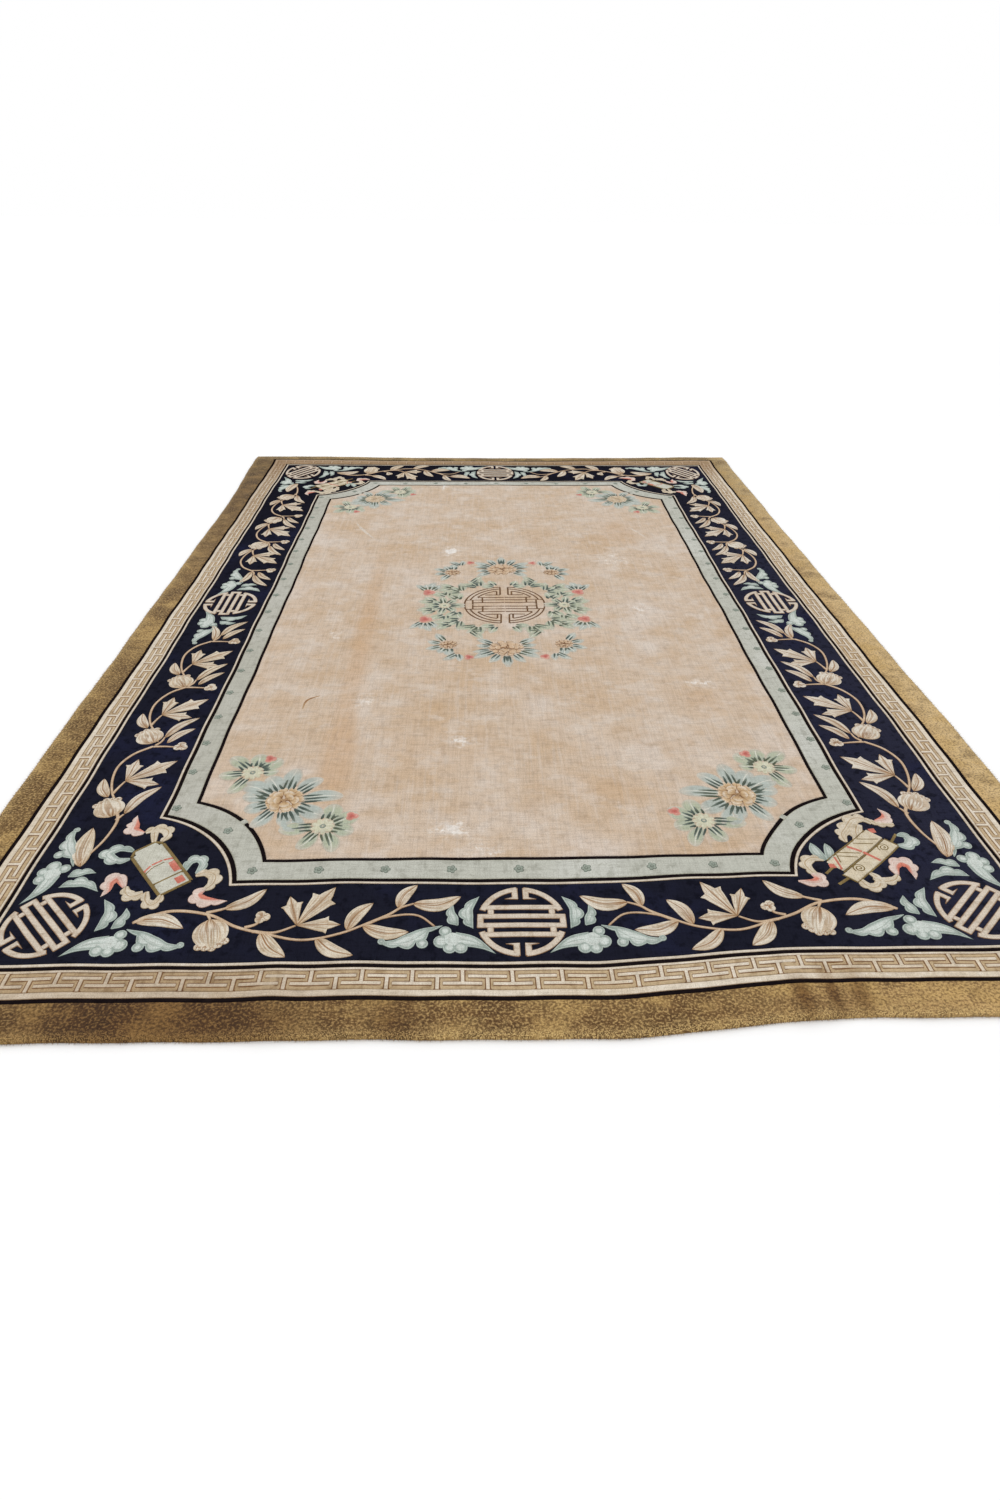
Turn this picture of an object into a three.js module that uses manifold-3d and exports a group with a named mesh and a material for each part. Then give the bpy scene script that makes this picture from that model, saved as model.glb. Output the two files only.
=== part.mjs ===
// A hand-knotted silk rug, lying flat: one slab of pile on its woven ground, with a softly rounded rim.
// Its pile is carved: narrow channels follow the border bands and ring the fret roundels.
// Millimetres, +Z up, +X across the rug and +Y along it. The origin is on the floor under the middle of the field.
import * as THREE from "three";
import { mergeVertices } from "three/addons/utils/BufferGeometryUtils.js";
import Module from "manifold-3d";

// Driving dimensions
const RUG_WIDTH = 3050;
const RUG_LENGTH = 4300;
const THICKNESS = 12; // woven ground and pile together
const RIM_ROUNDING = 3;
const EDGE_STEP = 145; // longest straight stretch along an edge

// Widths of the border bands, from the edge of the rug inwards
const BAND = {
  gold: 98,
  outerLine: 10,
  fret: 82,
  fretLine: 8,
  creamLine: 9,
  navy: 258,
  navyCream: 8,
  navyLine: 11,
  celadon: 68,
  fieldLine: 10,
};

// Carved channels in the top of the pile
const CHANNEL_WIDTH = 5;
const CHANNEL_DEPTH = 2.5;

// The inner bands turn in at each corner on an arc. Reach is how far the arc starts from the corner of the band's
// rectangle, and bulge is how far the arc stands off its own chord.
const NOTCH = {
  outer: { reach: 278, bulge: 57 },
  inner: { reach: 253, bulge: 46 },
  steps: 10,
};

// Fret roundels: eight in the navy border, and a larger one in the middle of the field
const BORDER_ROUNDEL_RADIUS = 115;
const CENTRE_ROUNDEL_RADIUS = 181;
const ROUNDEL_STEPS = 40;

// Where the rug has spread or drawn in. Each row moves points by amount along axis: not at all at the "from" place
// and fully past the "to" place, in both x and y.
const UNEVEN = [
  { axis: "y", amount: 28, xFrom: 150, xTo: 680, yFrom: -1000, yTo: -1900 }, // front edge, right half
  { axis: "x", amount: -40, xFrom: -1400, xTo: -1525, yFrom: 600, yTo: 1800 }, // back left corner
  { axis: "x", amount: 18, xFrom: 1050, xTo: 1330, yFrom: 300, yTo: -800 }, // right side, towards the front
];

// Offsets from the edge at which bands meet
const GOLD_END = BAND.gold;
const FRET_END = GOLD_END + BAND.outerLine + BAND.fret;
const NAVY_START = FRET_END + BAND.fretLine + BAND.creamLine;
const NAVY_END = NAVY_START + BAND.navy;
const CELADON_END = NAVY_END + BAND.navyCream + BAND.navyLine + BAND.celadon;
const FIELD_START = CELADON_END + BAND.fieldLine;
const NAVY_MIDDLE = (NAVY_START + NAVY_END) / 2;

const wasm = await Module();
wasm.setup();

function eased(value, from, to) {
  const t = THREE.MathUtils.clamp((value - from) / (to - from), 0, 1);
  return t * t * (3 - 2 * t);
}

// A point of the drawn layout, moved to where it lies on the uneven rug
function laid(point) {
  const moved = point.clone();
  for (const row of UNEVEN) {
    moved[row.axis] +=
      row.amount * eased(point.x, row.xFrom, row.xTo) * eased(point.y, row.yFrom, row.yTo);
  }
  return moved;
}

// Points from a to b, without b
function stretch(a, b) {
  const count = Math.ceil(a.distanceTo(b) / EDGE_STEP);
  return Array.from({ length: count }, (_, i) => a.clone().lerp(b, i / count));
}

// Points on the arc from a to b that stands off its chord, on the left of a to b, by bulge, without b
function arc(a, b, bulge) {
  const half = a.distanceTo(b) / 2;
  const radius = (half * half + bulge * bulge) / (2 * bulge);
  const along = b.clone().sub(a).normalize();
  const left = new THREE.Vector2(-along.y, along.x);
  const centre = a.clone().add(b).multiplyScalar(0.5).addScaledVector(left, bulge - radius);
  const sweep = Math.asin(half / radius);
  return Array.from({ length: NOTCH.steps }, (_, i) => {
    const turn = sweep * (1 - (2 * i) / NOTCH.steps);
    return centre
      .clone()
      .addScaledVector(along, -radius * Math.sin(turn))
      .addScaledVector(left, radius * Math.cos(turn));
  });
}

// The line round the rug at an offset from its edge, anticlockwise. From the inside of the navy band on it turns in
// at the corners.
function ringAt(offset) {
  const x = RUG_WIDTH / 2 - offset;
  const y = RUG_LENGTH / 2 - offset;
  const corners = [
    [-x, -y],
    [x, -y],
    [x, y],
    [-x, y],
  ].map(([cx, cy]) => new THREE.Vector2(cx, cy));
  const share = THREE.MathUtils.clamp((offset - NAVY_END) / (FIELD_START - NAVY_END), 0, 1);
  const reach = THREE.MathUtils.lerp(NOTCH.outer.reach, NOTCH.inner.reach, share);
  const bulge = THREE.MathUtils.lerp(NOTCH.outer.bulge, NOTCH.inner.bulge, share);
  const turnsIn = offset >= NAVY_END;
  const points = corners.flatMap((corner, i) => {
    const next = corners[(i + 1) % corners.length];
    const before = corners[(i + corners.length - 1) % corners.length];
    if (!turnsIn) return stretch(corner, next);
    const towardsNext = next.clone().sub(corner).normalize();
    const towardsBefore = before.clone().sub(corner).normalize();
    const arcStart = corner.clone().addScaledVector(towardsBefore, reach);
    const arcEnd = corner.clone().addScaledVector(towardsNext, reach);
    const sideEnd = next.clone().addScaledVector(towardsNext, -reach);
    return [...arc(arcStart, arcEnd, bulge), ...stretch(arcEnd, sideEnd)];
  });
  return points.map(laid);
}

function circleAt(centre, radius) {
  const points = Array.from({ length: ROUNDEL_STEPS }, (_, i) => {
    const turn = (2 * Math.PI * i) / ROUNDEL_STEPS;
    return new THREE.Vector2(Math.cos(turn), Math.sin(turn)).multiplyScalar(radius).add(centre);
  });
  return points.map(laid);
}

function solidOf(geometry) {
  geometry.deleteAttribute("normal");
  geometry.deleteAttribute("uv");
  const merged = mergeVertices(geometry, 1e-3);
  return new wasm.Manifold(
    new wasm.Mesh({
      numProp: 3,
      vertProperties: merged.attributes.position.array,
      triVerts: new Uint32Array(merged.index.array),
    }),
  );
}

function geometryOf(solid) {
  const mesh = solid.getMesh();
  const geometry = new THREE.BufferGeometry();
  geometry.setAttribute("position", new THREE.BufferAttribute(mesh.vertProperties, mesh.numProp));
  geometry.setIndex(new THREE.BufferAttribute(mesh.triVerts, 1));
  geometry.computeVertexNormals();
  return geometry;
}

// The whole thickness of the rug, with its rim rounded over at the top and tucked in at the floor
function slab() {
  const geometry = new THREE.ExtrudeGeometry(new THREE.Shape(ringAt(0)), {
    depth: THICKNESS - 2 * RIM_ROUNDING,
    steps: 1,
    bevelEnabled: true,
    bevelThickness: RIM_ROUNDING,
    bevelSize: RIM_ROUNDING,
    bevelOffset: -RIM_ROUNDING,
    bevelSegments: 3,
  });
  geometry.translate(0, 0, RIM_ROUNDING);
  return solidOf(geometry);
}

// What the carver's shears take out between two closed lines
function channel(outerLine, innerLine) {
  const shape = new THREE.Shape(outerLine);
  shape.holes.push(new THREE.Path(innerLine));
  const geometry = new THREE.ExtrudeGeometry(shape, {
    depth: 2 * CHANNEL_DEPTH,
    steps: 1,
    bevelEnabled: false,
  });
  geometry.translate(0, 0, THICKNESS - CHANNEL_DEPTH);
  return solidOf(geometry);
}

function bandChannels() {
  const reach = CHANNEL_WIDTH / 2;
  return [GOLD_END, FRET_END, NAVY_START, NAVY_END, CELADON_END].map((offset) =>
    // The channel at the navy band's inside lies wholly on the side that turns in
    offset === NAVY_END
      ? channel(ringAt(offset), ringAt(offset + CHANNEL_WIDTH))
      : channel(ringAt(offset - reach), ringAt(offset + reach)),
  );
}

function roundelChannels() {
  const x = RUG_WIDTH / 2 - NAVY_MIDDLE;
  const y = RUG_LENGTH / 2 - NAVY_MIDDLE;
  const places = [-x, 0, x].flatMap((px) => [-y, 0, y].map((py) => new THREE.Vector2(px, py)));
  return places.map((place) => {
    const radius = place.length() > 0 ? BORDER_ROUNDEL_RADIUS : CENTRE_ROUNDEL_RADIUS;
    return channel(circleAt(place, radius), circleAt(place, radius - CHANNEL_WIDTH));
  });
}

function carvedRug() {
  const carved = [...bandChannels(), ...roundelChannels()].reduce(
    (rug, cut) => rug.subtract(cut),
    slab(),
  );
  const silk = new THREE.MeshStandardMaterial({ color: 0xc9ab88, roughness: 0.7, metalness: 0 });
  const mesh = new THREE.Mesh(geometryOf(carved), silk);
  mesh.name = "rug";
  return mesh;
}

const silkRug = new THREE.Group();
silkRug.add(carvedRug());

export default silkRug;
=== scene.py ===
from collections import namedtuple

import bpy
import numpy as np
from mathutils import Matrix
from mathutils.geometry import delaunay_2d_cdt


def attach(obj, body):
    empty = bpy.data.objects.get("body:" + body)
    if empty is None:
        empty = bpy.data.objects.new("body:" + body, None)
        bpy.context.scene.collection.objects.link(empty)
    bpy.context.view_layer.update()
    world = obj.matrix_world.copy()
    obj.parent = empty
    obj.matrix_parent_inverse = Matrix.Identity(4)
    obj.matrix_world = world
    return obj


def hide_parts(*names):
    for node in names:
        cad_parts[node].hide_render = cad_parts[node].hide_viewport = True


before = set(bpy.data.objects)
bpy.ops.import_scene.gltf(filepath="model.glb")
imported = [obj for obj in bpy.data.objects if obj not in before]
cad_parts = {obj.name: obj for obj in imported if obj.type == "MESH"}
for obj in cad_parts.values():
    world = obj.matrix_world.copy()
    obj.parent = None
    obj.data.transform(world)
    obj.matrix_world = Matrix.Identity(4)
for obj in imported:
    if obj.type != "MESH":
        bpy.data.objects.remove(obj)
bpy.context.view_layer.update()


# Woven ground: cotton warp and weft, under the whole pile. Its cut edge shows as a thin line below the rim.
# The pile is knotted through it, so every other piece of the rug starts inside it.
HALF_WIDTH = 1525.0
HALF_LENGTH = 2150.0
GROUND_THICKNESS = 3.0
GROUND_INSET = 2.5  # the pile overhangs the ground's edge by this much
BAND_WIDTHS = {
    "gold": 98.0,
    "outer line": 11.0,
    "fret": 81.0,
    "fret line": 10.0,
    "fret cream": 9.0,
    "navy": 254.0,
    "navy cream": 8.0,
    "navy line": 11.0,
    "celadon": 68.0,
    "field line": 10.0,
}
BAND_ENDS = dict(zip(BAND_WIDTHS, np.cumsum(list(BAND_WIDTHS.values()))))
FIELD_START = BAND_ENDS["field line"]
# The inner bands turn in at the corners on an arc: its reach along each side, and its bulge off its chord
SIDE_EXTRA = 17.0  # by which the navy border is wider at the long sides
TURN_OUTER = {"reach": 272.0, "bulge": 57.0}
TURN_INNER = {"reach": 252.0, "bulge": 46.0}
CORNER_STEPS = 12
SIDE_STEP = 24.0
# Where the rug has spread or drawn in: nothing at "from" and all of amount past "to", in x and in y
ALL_ALONG = (3000, 2500)
ALL_ACROSS = (-2500, -2000)
Uneven = namedtuple("Uneven", "axis amount x_from x_to y_from y_to")
UNEVEN = [
    Uneven(1, 38, 180, 800, -1300, -2400),  # front edge, right half
    Uneven(0, -42, -1400, -1515, 1300, 2200),  # back left corner
    Uneven(0, 14, -1400, -1515, 1800, 2200),
    Uneven(0, 8, -1250, -1450, *ALL_ALONG),  # left edge
    Uneven(0, 16, 1050, 1330, 900, -1400),  # right side, towards the front
    Uneven(0, -8, 1150, 1430, *ALL_ALONG),  # right edge
    Uneven(0, -16, 350, 700, -1450, -1600),  # front right, drawn to the left
    Uneven(0, 16, 800, 1100, -1450, -1600),
    Uneven(1, -8, -480, -120, -1560, -1720),  # front, sagging at its middle
    Uneven(1, 8, 160, 480, -1560, -1720),
    Uneven(1, -20, *ALL_ACROSS, 1540, 1700),  # back border, drawn out
    Uneven(1, 55, *ALL_ACROSS, 1690, 1940),
    Uneven(1, -20, *ALL_ACROSS, 2060, 2150),
    Uneven(1, -26, -1350, -300, 1920, 2040),  # back edge, hanging in at its middle
    Uneven(1, 26, 300, 1350, 1920, 2040),
]
# The weaver's hand: no line is quite straight.
# Which way it strays and how far, and its waves per metre in x and in y
Stray = namedtuple("Stray", "axis amount in_x in_y phase")
STRAYS = [
    Stray(1, 1.6, 1.1, 0.3, 0.5),
    Stray(1, 0.9, 4.3, 1.2, 2.1),
    Stray(0, 1.6, 0.2, 1.3, 1.2),
    Stray(0, 0.9, 1.0, 4.1, 4.0),
]


def eased(value, start, end):
    t = np.clip((value - start) / (end - start), 0, 1)
    return t * t * (3 - 2 * t)


def waves(xy, row):
    return np.sin(2 * np.pi * (row.in_x * xy[:, 0] + row.in_y * xy[:, 1]) / 1000 + row.phase)


def laid(xy):
    """Points of the drawn layout, moved to where they lie on the uneven rug."""
    moved = xy.copy()
    for row in UNEVEN:
        in_x, in_y = eased(xy[:, 0], row.x_from, row.x_to), eased(xy[:, 1], row.y_from, row.y_to)
        moved[:, row.axis] += row.amount * in_x * in_y
    for row in STRAYS:
        moved[:, row.axis] += row.amount * waves(xy, row)
    return moved


def arc(a, b, bulge, towards, count):
    """Points from a to b on the arc that stands off its chord by bulge, in the direction towards."""
    half = np.linalg.norm(b - a) / 2
    radius = (half**2 + bulge**2) / (2 * bulge)
    along = (b - a) / (2 * half)
    turn = np.linspace(-1, 1, count)[:, None] * np.arcsin(half / radius)
    centre = (a + b) / 2 + towards * (bulge - radius)
    return centre + towards * radius * np.cos(turn) + along * radius * np.sin(turn)


def ring_at(offset, turned_in):
    """The closed line round the rug at an offset from its edge, with as many points whatever the offset."""
    share = np.clip((offset - BAND_ENDS["navy"]) / (FIELD_START - BAND_ENDS["navy"]), 0, 1)
    reach, bulge = (TURN_OUTER[k] + share * (TURN_INNER[k] - TURN_OUTER[k]) for k in ("reach", "bulge"))
    navy_share = np.clip((offset - BAND_ENDS["fret cream"]) / BAND_WIDTHS["navy"], 0, 1)
    half = np.array([HALF_WIDTH - offset - SIDE_EXTRA * navy_share, HALF_LENGTH - offset])
    corners = [half * sign for sign in ((-1, -1), (1, -1), (1, 1), (-1, 1))]
    points = []
    for i, corner in enumerate(corners):
        after = corners[(i + 1) % 4]
        to_after = (after - corner) / np.linalg.norm(after - corner)
        to_before = np.array([-to_after[1], to_after[0]])
        start, end = corner + to_before * reach, corner + to_after * reach
        if turned_in:
            inward = (to_after + to_before) / np.sqrt(2)
            points.append(arc(start, end, bulge, inward, 2 * CORNER_STEPS + 1))
        else:
            t = np.linspace(0, 1, CORNER_STEPS + 1)[:, None]
            points.append(start + (corner - start) * t)
            points.append(corner + (end - corner) * t[1:])
        steps = int(2 * (HALF_WIDTH, HALF_LENGTH)[i % 2] / SIDE_STEP)
        t = np.linspace(0, 1, steps + 1)[1:-1, None]
        points.append(end + (after - to_after * reach - end) * t)
    return np.concatenate(points)


def linear(hex_colour):
    s = np.array([int(hex_colour[i : i + 2], 16) for i in (1, 3, 5)]) / 255
    return (*np.where(s <= 0.04045, s / 12.92, ((s + 0.055) / 1.055) ** 2.4), 1.0)


def add(tree, kind, inputs, output=0, **settings):
    """Adds a node with its settings. Each input is a value or the socket that feeds it. Gives one output."""
    node = tree.nodes.new("ShaderNode" + kind)
    for name, value in settings.items():
        setattr(node, name, value)
    for name, value in inputs.items():
        if isinstance(value, bpy.types.NodeSocket):
            tree.links.new(value, node.inputs[name])
        else:
            node.inputs[name].default_value = value
    return node.outputs[output]


# Irregular patterns of the pile: a patch's size across and along the rug in mm, its octaves and roughness.
# Knots are about 2 mm apart, so knot rows, warp lines, tufts and grain are drawn coarser, to show.
Pattern = namedtuple("Pattern", "across along octaves rough")
PATTERNS = {
    "cloud": Pattern(420, 420, 4, 0.6),
    "patch": Pattern(150, 110, 4, 0.65),
    "mottle": Pattern(30, 30, 3, 0.65),
    "nap": Pattern(38, 30, 6, 0.78),
    "brush": Pattern(150, 150, 2, 0.5),
    "tufts": Pattern(7, 6, 2, 0.6),
    "streaks": Pattern(16, 300, 3, 0.6),
    "knot rows": Pattern(85, 5.0, 2, 0.6),
    "warp lines": Pattern(5.0, 120, 2, 0.6),
    "grain": Pattern(2.8, 2.8, 2, 0.6),
}
FAN_LINES = (1.3, 11.0, 1.0)  # lines in a motif's own map: along it, across it
# A colour that comes in as its source goes from start to end.
# The most of it is a share, or the value of another source
Layer = namedtuple("Layer", "source start end most colour blend", defaults=["MIX"])
PILE_LAYERS = [
    Layer("mottle", 0.52, 0.3, 0.4, "#D8D5D2", "MULTIPLY"),
    Layer("knot rows", 0.55, 0.36, 0.3, "#D4D2D0", "MULTIPLY"),
    Layer("warp lines", 0.55, 0.36, 0.25, "#D4D2D0", "MULTIPLY"),
    Layer("grain", 0.55, 0.35, 0.6, "#CCC8C4", "MULTIPLY"),
]


def source_value(tree, source):
    """The value at each point of a named pattern, coordinate or mark of the mesh."""
    if source in PATTERNS:
        pattern = PATTERNS[source]
        place = add(tree, "TexCoord", {}, "Object")
        size = (1000 / pattern.across, 1000 / pattern.along, 1.0)
        scaled = add(tree, "Mapping", {"Vector": place, "Scale": size})
        return add(
            tree,
            "TexNoise",
            {"Vector": scaled, "Scale": 1.0, "Detail": pattern.octaves - 1.0, "Roughness": pattern.rough},
        )
    if source == "fan":
        scaled = add(tree, "Mapping", {"Vector": add(tree, "UVMap", {}, uv_map="fan"), "Scale": FAN_LINES})
        return add(tree, "TexNoise", {"Vector": scaled, "Scale": 1.0, "Detail": 1.0})
    if source in ("X", "Y"):
        return add(tree, "SeparateXYZ", {"Vector": add(tree, "TexCoord", {}, "Object")}, source)
    return add(tree, "Attribute", {}, "Fac", attribute_name=source)


PILE_ROUGHNESS = 0.7
SHEEN_ROUGHNESS = 0.45
GRAIN_STRENGTH = 0.5
GRAIN_DEPTH = 0.0012  # metres


def silk(name, base, layers=(), sheen=0.04, gloss=0.2):
    """Cut silk pile of a base colour under layers of others, with knot rows and grain over them all."""
    material = bpy.data.materials.new(name)
    material.use_nodes = True
    tree = material.node_tree
    colour = linear(base)
    values = {}
    for layer in (*layers, *PILE_LAYERS):
        for source in (layer.source, layer.most):
            if isinstance(source, str) and source not in values:
                values[source] = source_value(tree, source)
        share = add(
            tree,
            "MapRange",
            {
                "Value": values[layer.source],
                "From Min": layer.start,
                "From Max": layer.end,
                "To Max": values.get(layer.most, layer.most),
            },
            interpolation_type="SMOOTHSTEP",
        )
        inputs = {0: share, 6: colour, 7: linear(layer.colour)}  # the mix node's factor and colour sockets
        colour = add(tree, "Mix", inputs, 2, data_type="RGBA", blend_type=layer.blend)
    shader = tree.nodes["Principled BSDF"]
    tree.links.new(colour, shader.inputs["Base Color"])
    relief = {"Height": values["grain"], "Strength": GRAIN_STRENGTH, "Distance": GRAIN_DEPTH}
    bump = add(tree, "Bump", relief)
    tree.links.new(bump, shader.inputs["Normal"])
    shader.inputs["Roughness"].default_value = PILE_ROUGHNESS
    shader.inputs["Specular IOR Level"].default_value = gloss
    shader.inputs["Sheen Weight"].default_value = sheen
    shader.inputs["Sheen Roughness"].default_value = SHEEN_ROUGHNESS
    return material


PILE_TOP = 11.0
# Slow rise and fall of the pile: height, waves per metre in x and y, and phase
Swell = namedtuple("Swell", "height in_x in_y phase")
SWELLS = [
    Swell(0.5, 1.3, 0.7, 0.4),
    Swell(0.4, -0.9, 1.9, 2.0),
    Swell(0.3, 3.7, 2.3, 4.1),
    Swell(0.2, -6.1, 5.3, 1.0),
]
# Soft creases that run in from the front edge: place across, height, half width, how far in
Crease = namedtuple("Crease", "x height half_width reach")
CREASES = [Crease(-590, 5.0, 45, 420), Crease(655, 6.0, 55, 500), Crease(760, -3.0, 40, 350)]
# Along the back the pile stands up in a low ridge
RIDGE_Y = 2035.0
RIDGE_HEIGHT = 5.0
RIDGE_HALF_WIDTH = 60.0
# Where the pile is worn pale and stained peach, and where shade is painted over it (in folds, and where the
# nap turns from the light): a spot's middle, half size and strength
Spot = namedtuple("Spot", "x y across along amount")
WORN = [
    Spot(-240, 575, 38, 44, 1.6),
    Spot(-165, -1035, 46, 34, 1.0),
    Spot(-190, -1470, 58, 34, 1.05),
    Spot(-95, -1560, 50, 26, 0.95),
    Spot(560, 470, 60, 90, 0.7),
    Spot(590, -60, 40, 60, 0.7),
    Spot(-690, -300, 30, 60, 0.6),
    Spot(-520, -790, 35, 40, 0.8),
    Spot(720, -680, 50, 25, 0.9),
    Spot(-250, -5, 24, 24, 1.0),
    # A small pucker near the back: its pale top is painted highlight
    Spot(-310, 1560, 14, 60, 1.4),
]
# Painted shade: on the borders at the front left and the back left, and in folds along the front
SHADED = [
    Spot(-850, -2100, 420, 160, 1.0),
    Spot(-1480, 1500, 150, 900, 0.7),
    Spot(-300, -2110, 60, 80, 0.5),
    Spot(660, -2090, 26, 70, 1.0),
    Spot(735, -2080, 18, 80, 1.0),
    Spot(800, -2080, 30, 80, 0.8),
]
STAINED = [
    Spot(-575, -300, 55, 900, 0.85),
    Spot(-560, -1150, 60, 220, 0.8),
    Spot(-250, -1100, 260, 160, 0.35),
    Spot(300, -1300, 300, 120, 0.4),
    Spot(620, 850, 160, 220, 0.6),
    Spot(350, -300, 120, 350, 0.35),
    Spot(700, -800, 120, 120, 0.55),
    Spot(-350, 900, 200, 130, 0.35),
    Spot(6, -19, 130, 130, 0.5),
]


def swell(xy):
    """How far the pile's top stands over its even height."""
    height = sum(row.height * waves(xy, row) for row in SWELLS)
    for row in CREASES:
        fade = eased(xy[:, 1], -HALF_LENGTH + row.reach, -HALF_LENGTH)
        height += row.height * np.exp(-(((xy[:, 0] - row.x) / row.half_width) ** 2)) * fade
    ridge = (xy[:, 1] - RIDGE_Y) / RIDGE_HALF_WIDTH
    return height + RIDGE_HEIGHT * np.exp(-(ridge**2))


def spotted(xy, spots):
    """How strongly a point is marked by spots that fade outwards."""
    total = np.zeros(len(xy))
    for s in spots:
        total += s.amount * np.exp(-(((xy[:, 0] - s.x) / s.across) ** 2) - ((xy[:, 1] - s.y) / s.along) ** 2)
    return np.minimum(total, 1)


# A part of the layout: its points and faces, its own map for fans of lines, and four marks for each point:
# edge, mm in from the carved edge; vein, mm from the middle line; tip, 0 at the root and 1 at the tip;
# core, 1 at the middle of the root and 0 at the edges and the tip
Part = namedtuple("Part", "verts faces fan edge vein tip core")
FAN_STEP = 3.7  # moves each part to its own place in the fan pattern


def plain_part(verts, faces):
    """A part with no veins and no tip, far from any edge."""
    nothing = np.zeros(len(verts))
    return Part(verts, faces, np.zeros((len(verts), 2)), nothing + 50, nothing + 50, nothing, nothing)


def rug_piece(name, parts, material):
    """Joins parts of the layout into one piece of the rug, laid on the floor."""
    verts = np.concatenate([p.verts for p in parts])
    starts = np.cumsum([0] + [len(p.verts) for p in parts])
    faces = [tuple(start + i for i in face) for start, p in zip(starts, parts) for face in p.faces]
    marks = {mark: np.concatenate([getattr(p, mark) for p in parts]) for mark in Part._fields[3:]}
    for mark, spots in (("worn", WORN), ("stained", STAINED), ("shaded", SHADED)):
        marks[mark] = spotted(verts[:, :2], spots)
    share = np.clip((verts[:, 2] - GROUND_THICKNESS) / (PILE_TOP - GROUND_THICKNESS), 0, 1)
    verts[:, 2] += share * swell(verts[:, :2])
    verts[:, :2] = laid(verts[:, :2])
    mesh = bpy.data.meshes.new(name)
    mesh.from_pydata((verts * 0.001).tolist(), [], faces)
    corner_verts = np.empty(len(mesh.loops), int)
    mesh.loops.foreach_get("vertex_index", corner_verts)
    fan = np.concatenate([p.fan + k * FAN_STEP for k, p in enumerate(parts)])
    mesh.uv_layers.new(name="fan").uv.foreach_set("vector", fan[corner_verts].ravel())
    for mark, values in marks.items():
        mesh.attributes.new(mark, "FLOAT", "POINT").data.foreach_set("value", values)
    mesh.polygons.foreach_set("use_smooth", np.ones(len(mesh.polygons), bool))
    mesh.materials.append(material)
    piece = bpy.data.objects.new(name, mesh)
    bpy.context.scene.collection.objects.link(piece)
    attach(piece, "root")
    return piece


def inside(points, ring):
    """Which points lie inside a closed ring."""
    crossed = np.zeros(len(points), int)
    for (x0, y0), (x1, y1) in zip(ring, np.roll(ring, -1, axis=0)):
        if y0 != y1:
            at = x0 + (points[:, 1] - y0) * (x1 - x0) / (y1 - y0)
            level = (points[:, 1] >= min(y0, y1)) & (points[:, 1] < max(y0, y1))
            crossed += level & (points[:, 0] < at)
    return crossed % 2 == 1


def filled(rings, heights, within, cell):
    """A closed slab in the outermost of nested rings, its top at their heights, gridded within a ring."""
    outline = rings[0]
    low, high = within.min(axis=0), within.max(axis=0)
    x, y = np.meshgrid(np.arange(low[0], high[0], cell), np.arange(low[1], high[1], cell))
    grid = np.stack([x.ravel(), y.ravel()], 1)
    grid = grid[inside(grid, within)]
    points = np.concatenate([*rings, grid])
    top = np.concatenate([np.full(len(r), z) for r, z in zip([*rings, grid], [*heights, heights[-1]])])
    count = len(outline)
    bounds = [(i, (i + 1) % count) for i in range(count)]
    made, _, triangles, kept, _, _ = delaunay_2d_cdt([tuple(p) for p in points], bounds, [], 1, 1e-6, True)
    xy = np.array([tuple(p) for p in made])
    source = np.array([k[0] for k in kept])
    number = len(xy)
    floor = np.full(number, 0.0 if heights[-1] <= GROUND_THICKNESS else GROUND_THICKNESS - 1)
    verts = np.concatenate([np.column_stack([xy, top[source]]), np.column_stack([xy, floor])])
    faces = [tuple(t) for t in triangles]
    faces += [tuple(number + i for i in reversed(t)) for t in triangles]
    at = {s: i for i, s in enumerate(source) if s < count}
    faces += [(at[a], number + at[a], number + at[b], at[b]) for a, b in bounds]
    return plain_part(verts, faces)


# Undyed cotton, beaten tight: matt, with the weft's fine ribs.
cotton = silk("undyed cotton weave", "#B9A283", [Layer("cloud", 0.5, 0.35, 0.6, "#A18A69")])
ground = filled([ring_at(GROUND_INSET, False)], [GROUND_THICKNESS], ring_at(40, False), 60.0)
woven_ground = rug_piece("woven_ground", [ground], cotton)
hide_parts("rug")


# Gold border: the plain outer band of the pile. Its nap shows in light and dark patches of painted sheen and
# shade.
# Painted sheen makes it lighter at the right, and painted shade darker at the left and back.
# Its cut edge is rounded and a little frayed.
BAND_GROOVE = 2.2  # depth to which the carver's shears part two bands
BAND_ROUNDING = 4.0
GOLD_LOOPS = 12
ROUND_STEPS = np.array([0, 0.12, 0.4, 1.0])
EDGE_ROUNDING = 6.0
FRAYED_RIM = 34.0  # how far in from the edge the nap is rough
TUFT_SPACING = 3.0
TUFT_HEIGHTS = (3.5, 6.5, 9.0)
TUFT_LENGTH = (4.0, 7.5)
TUFT_RADIUS = 0.8
SEED = 7


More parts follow.
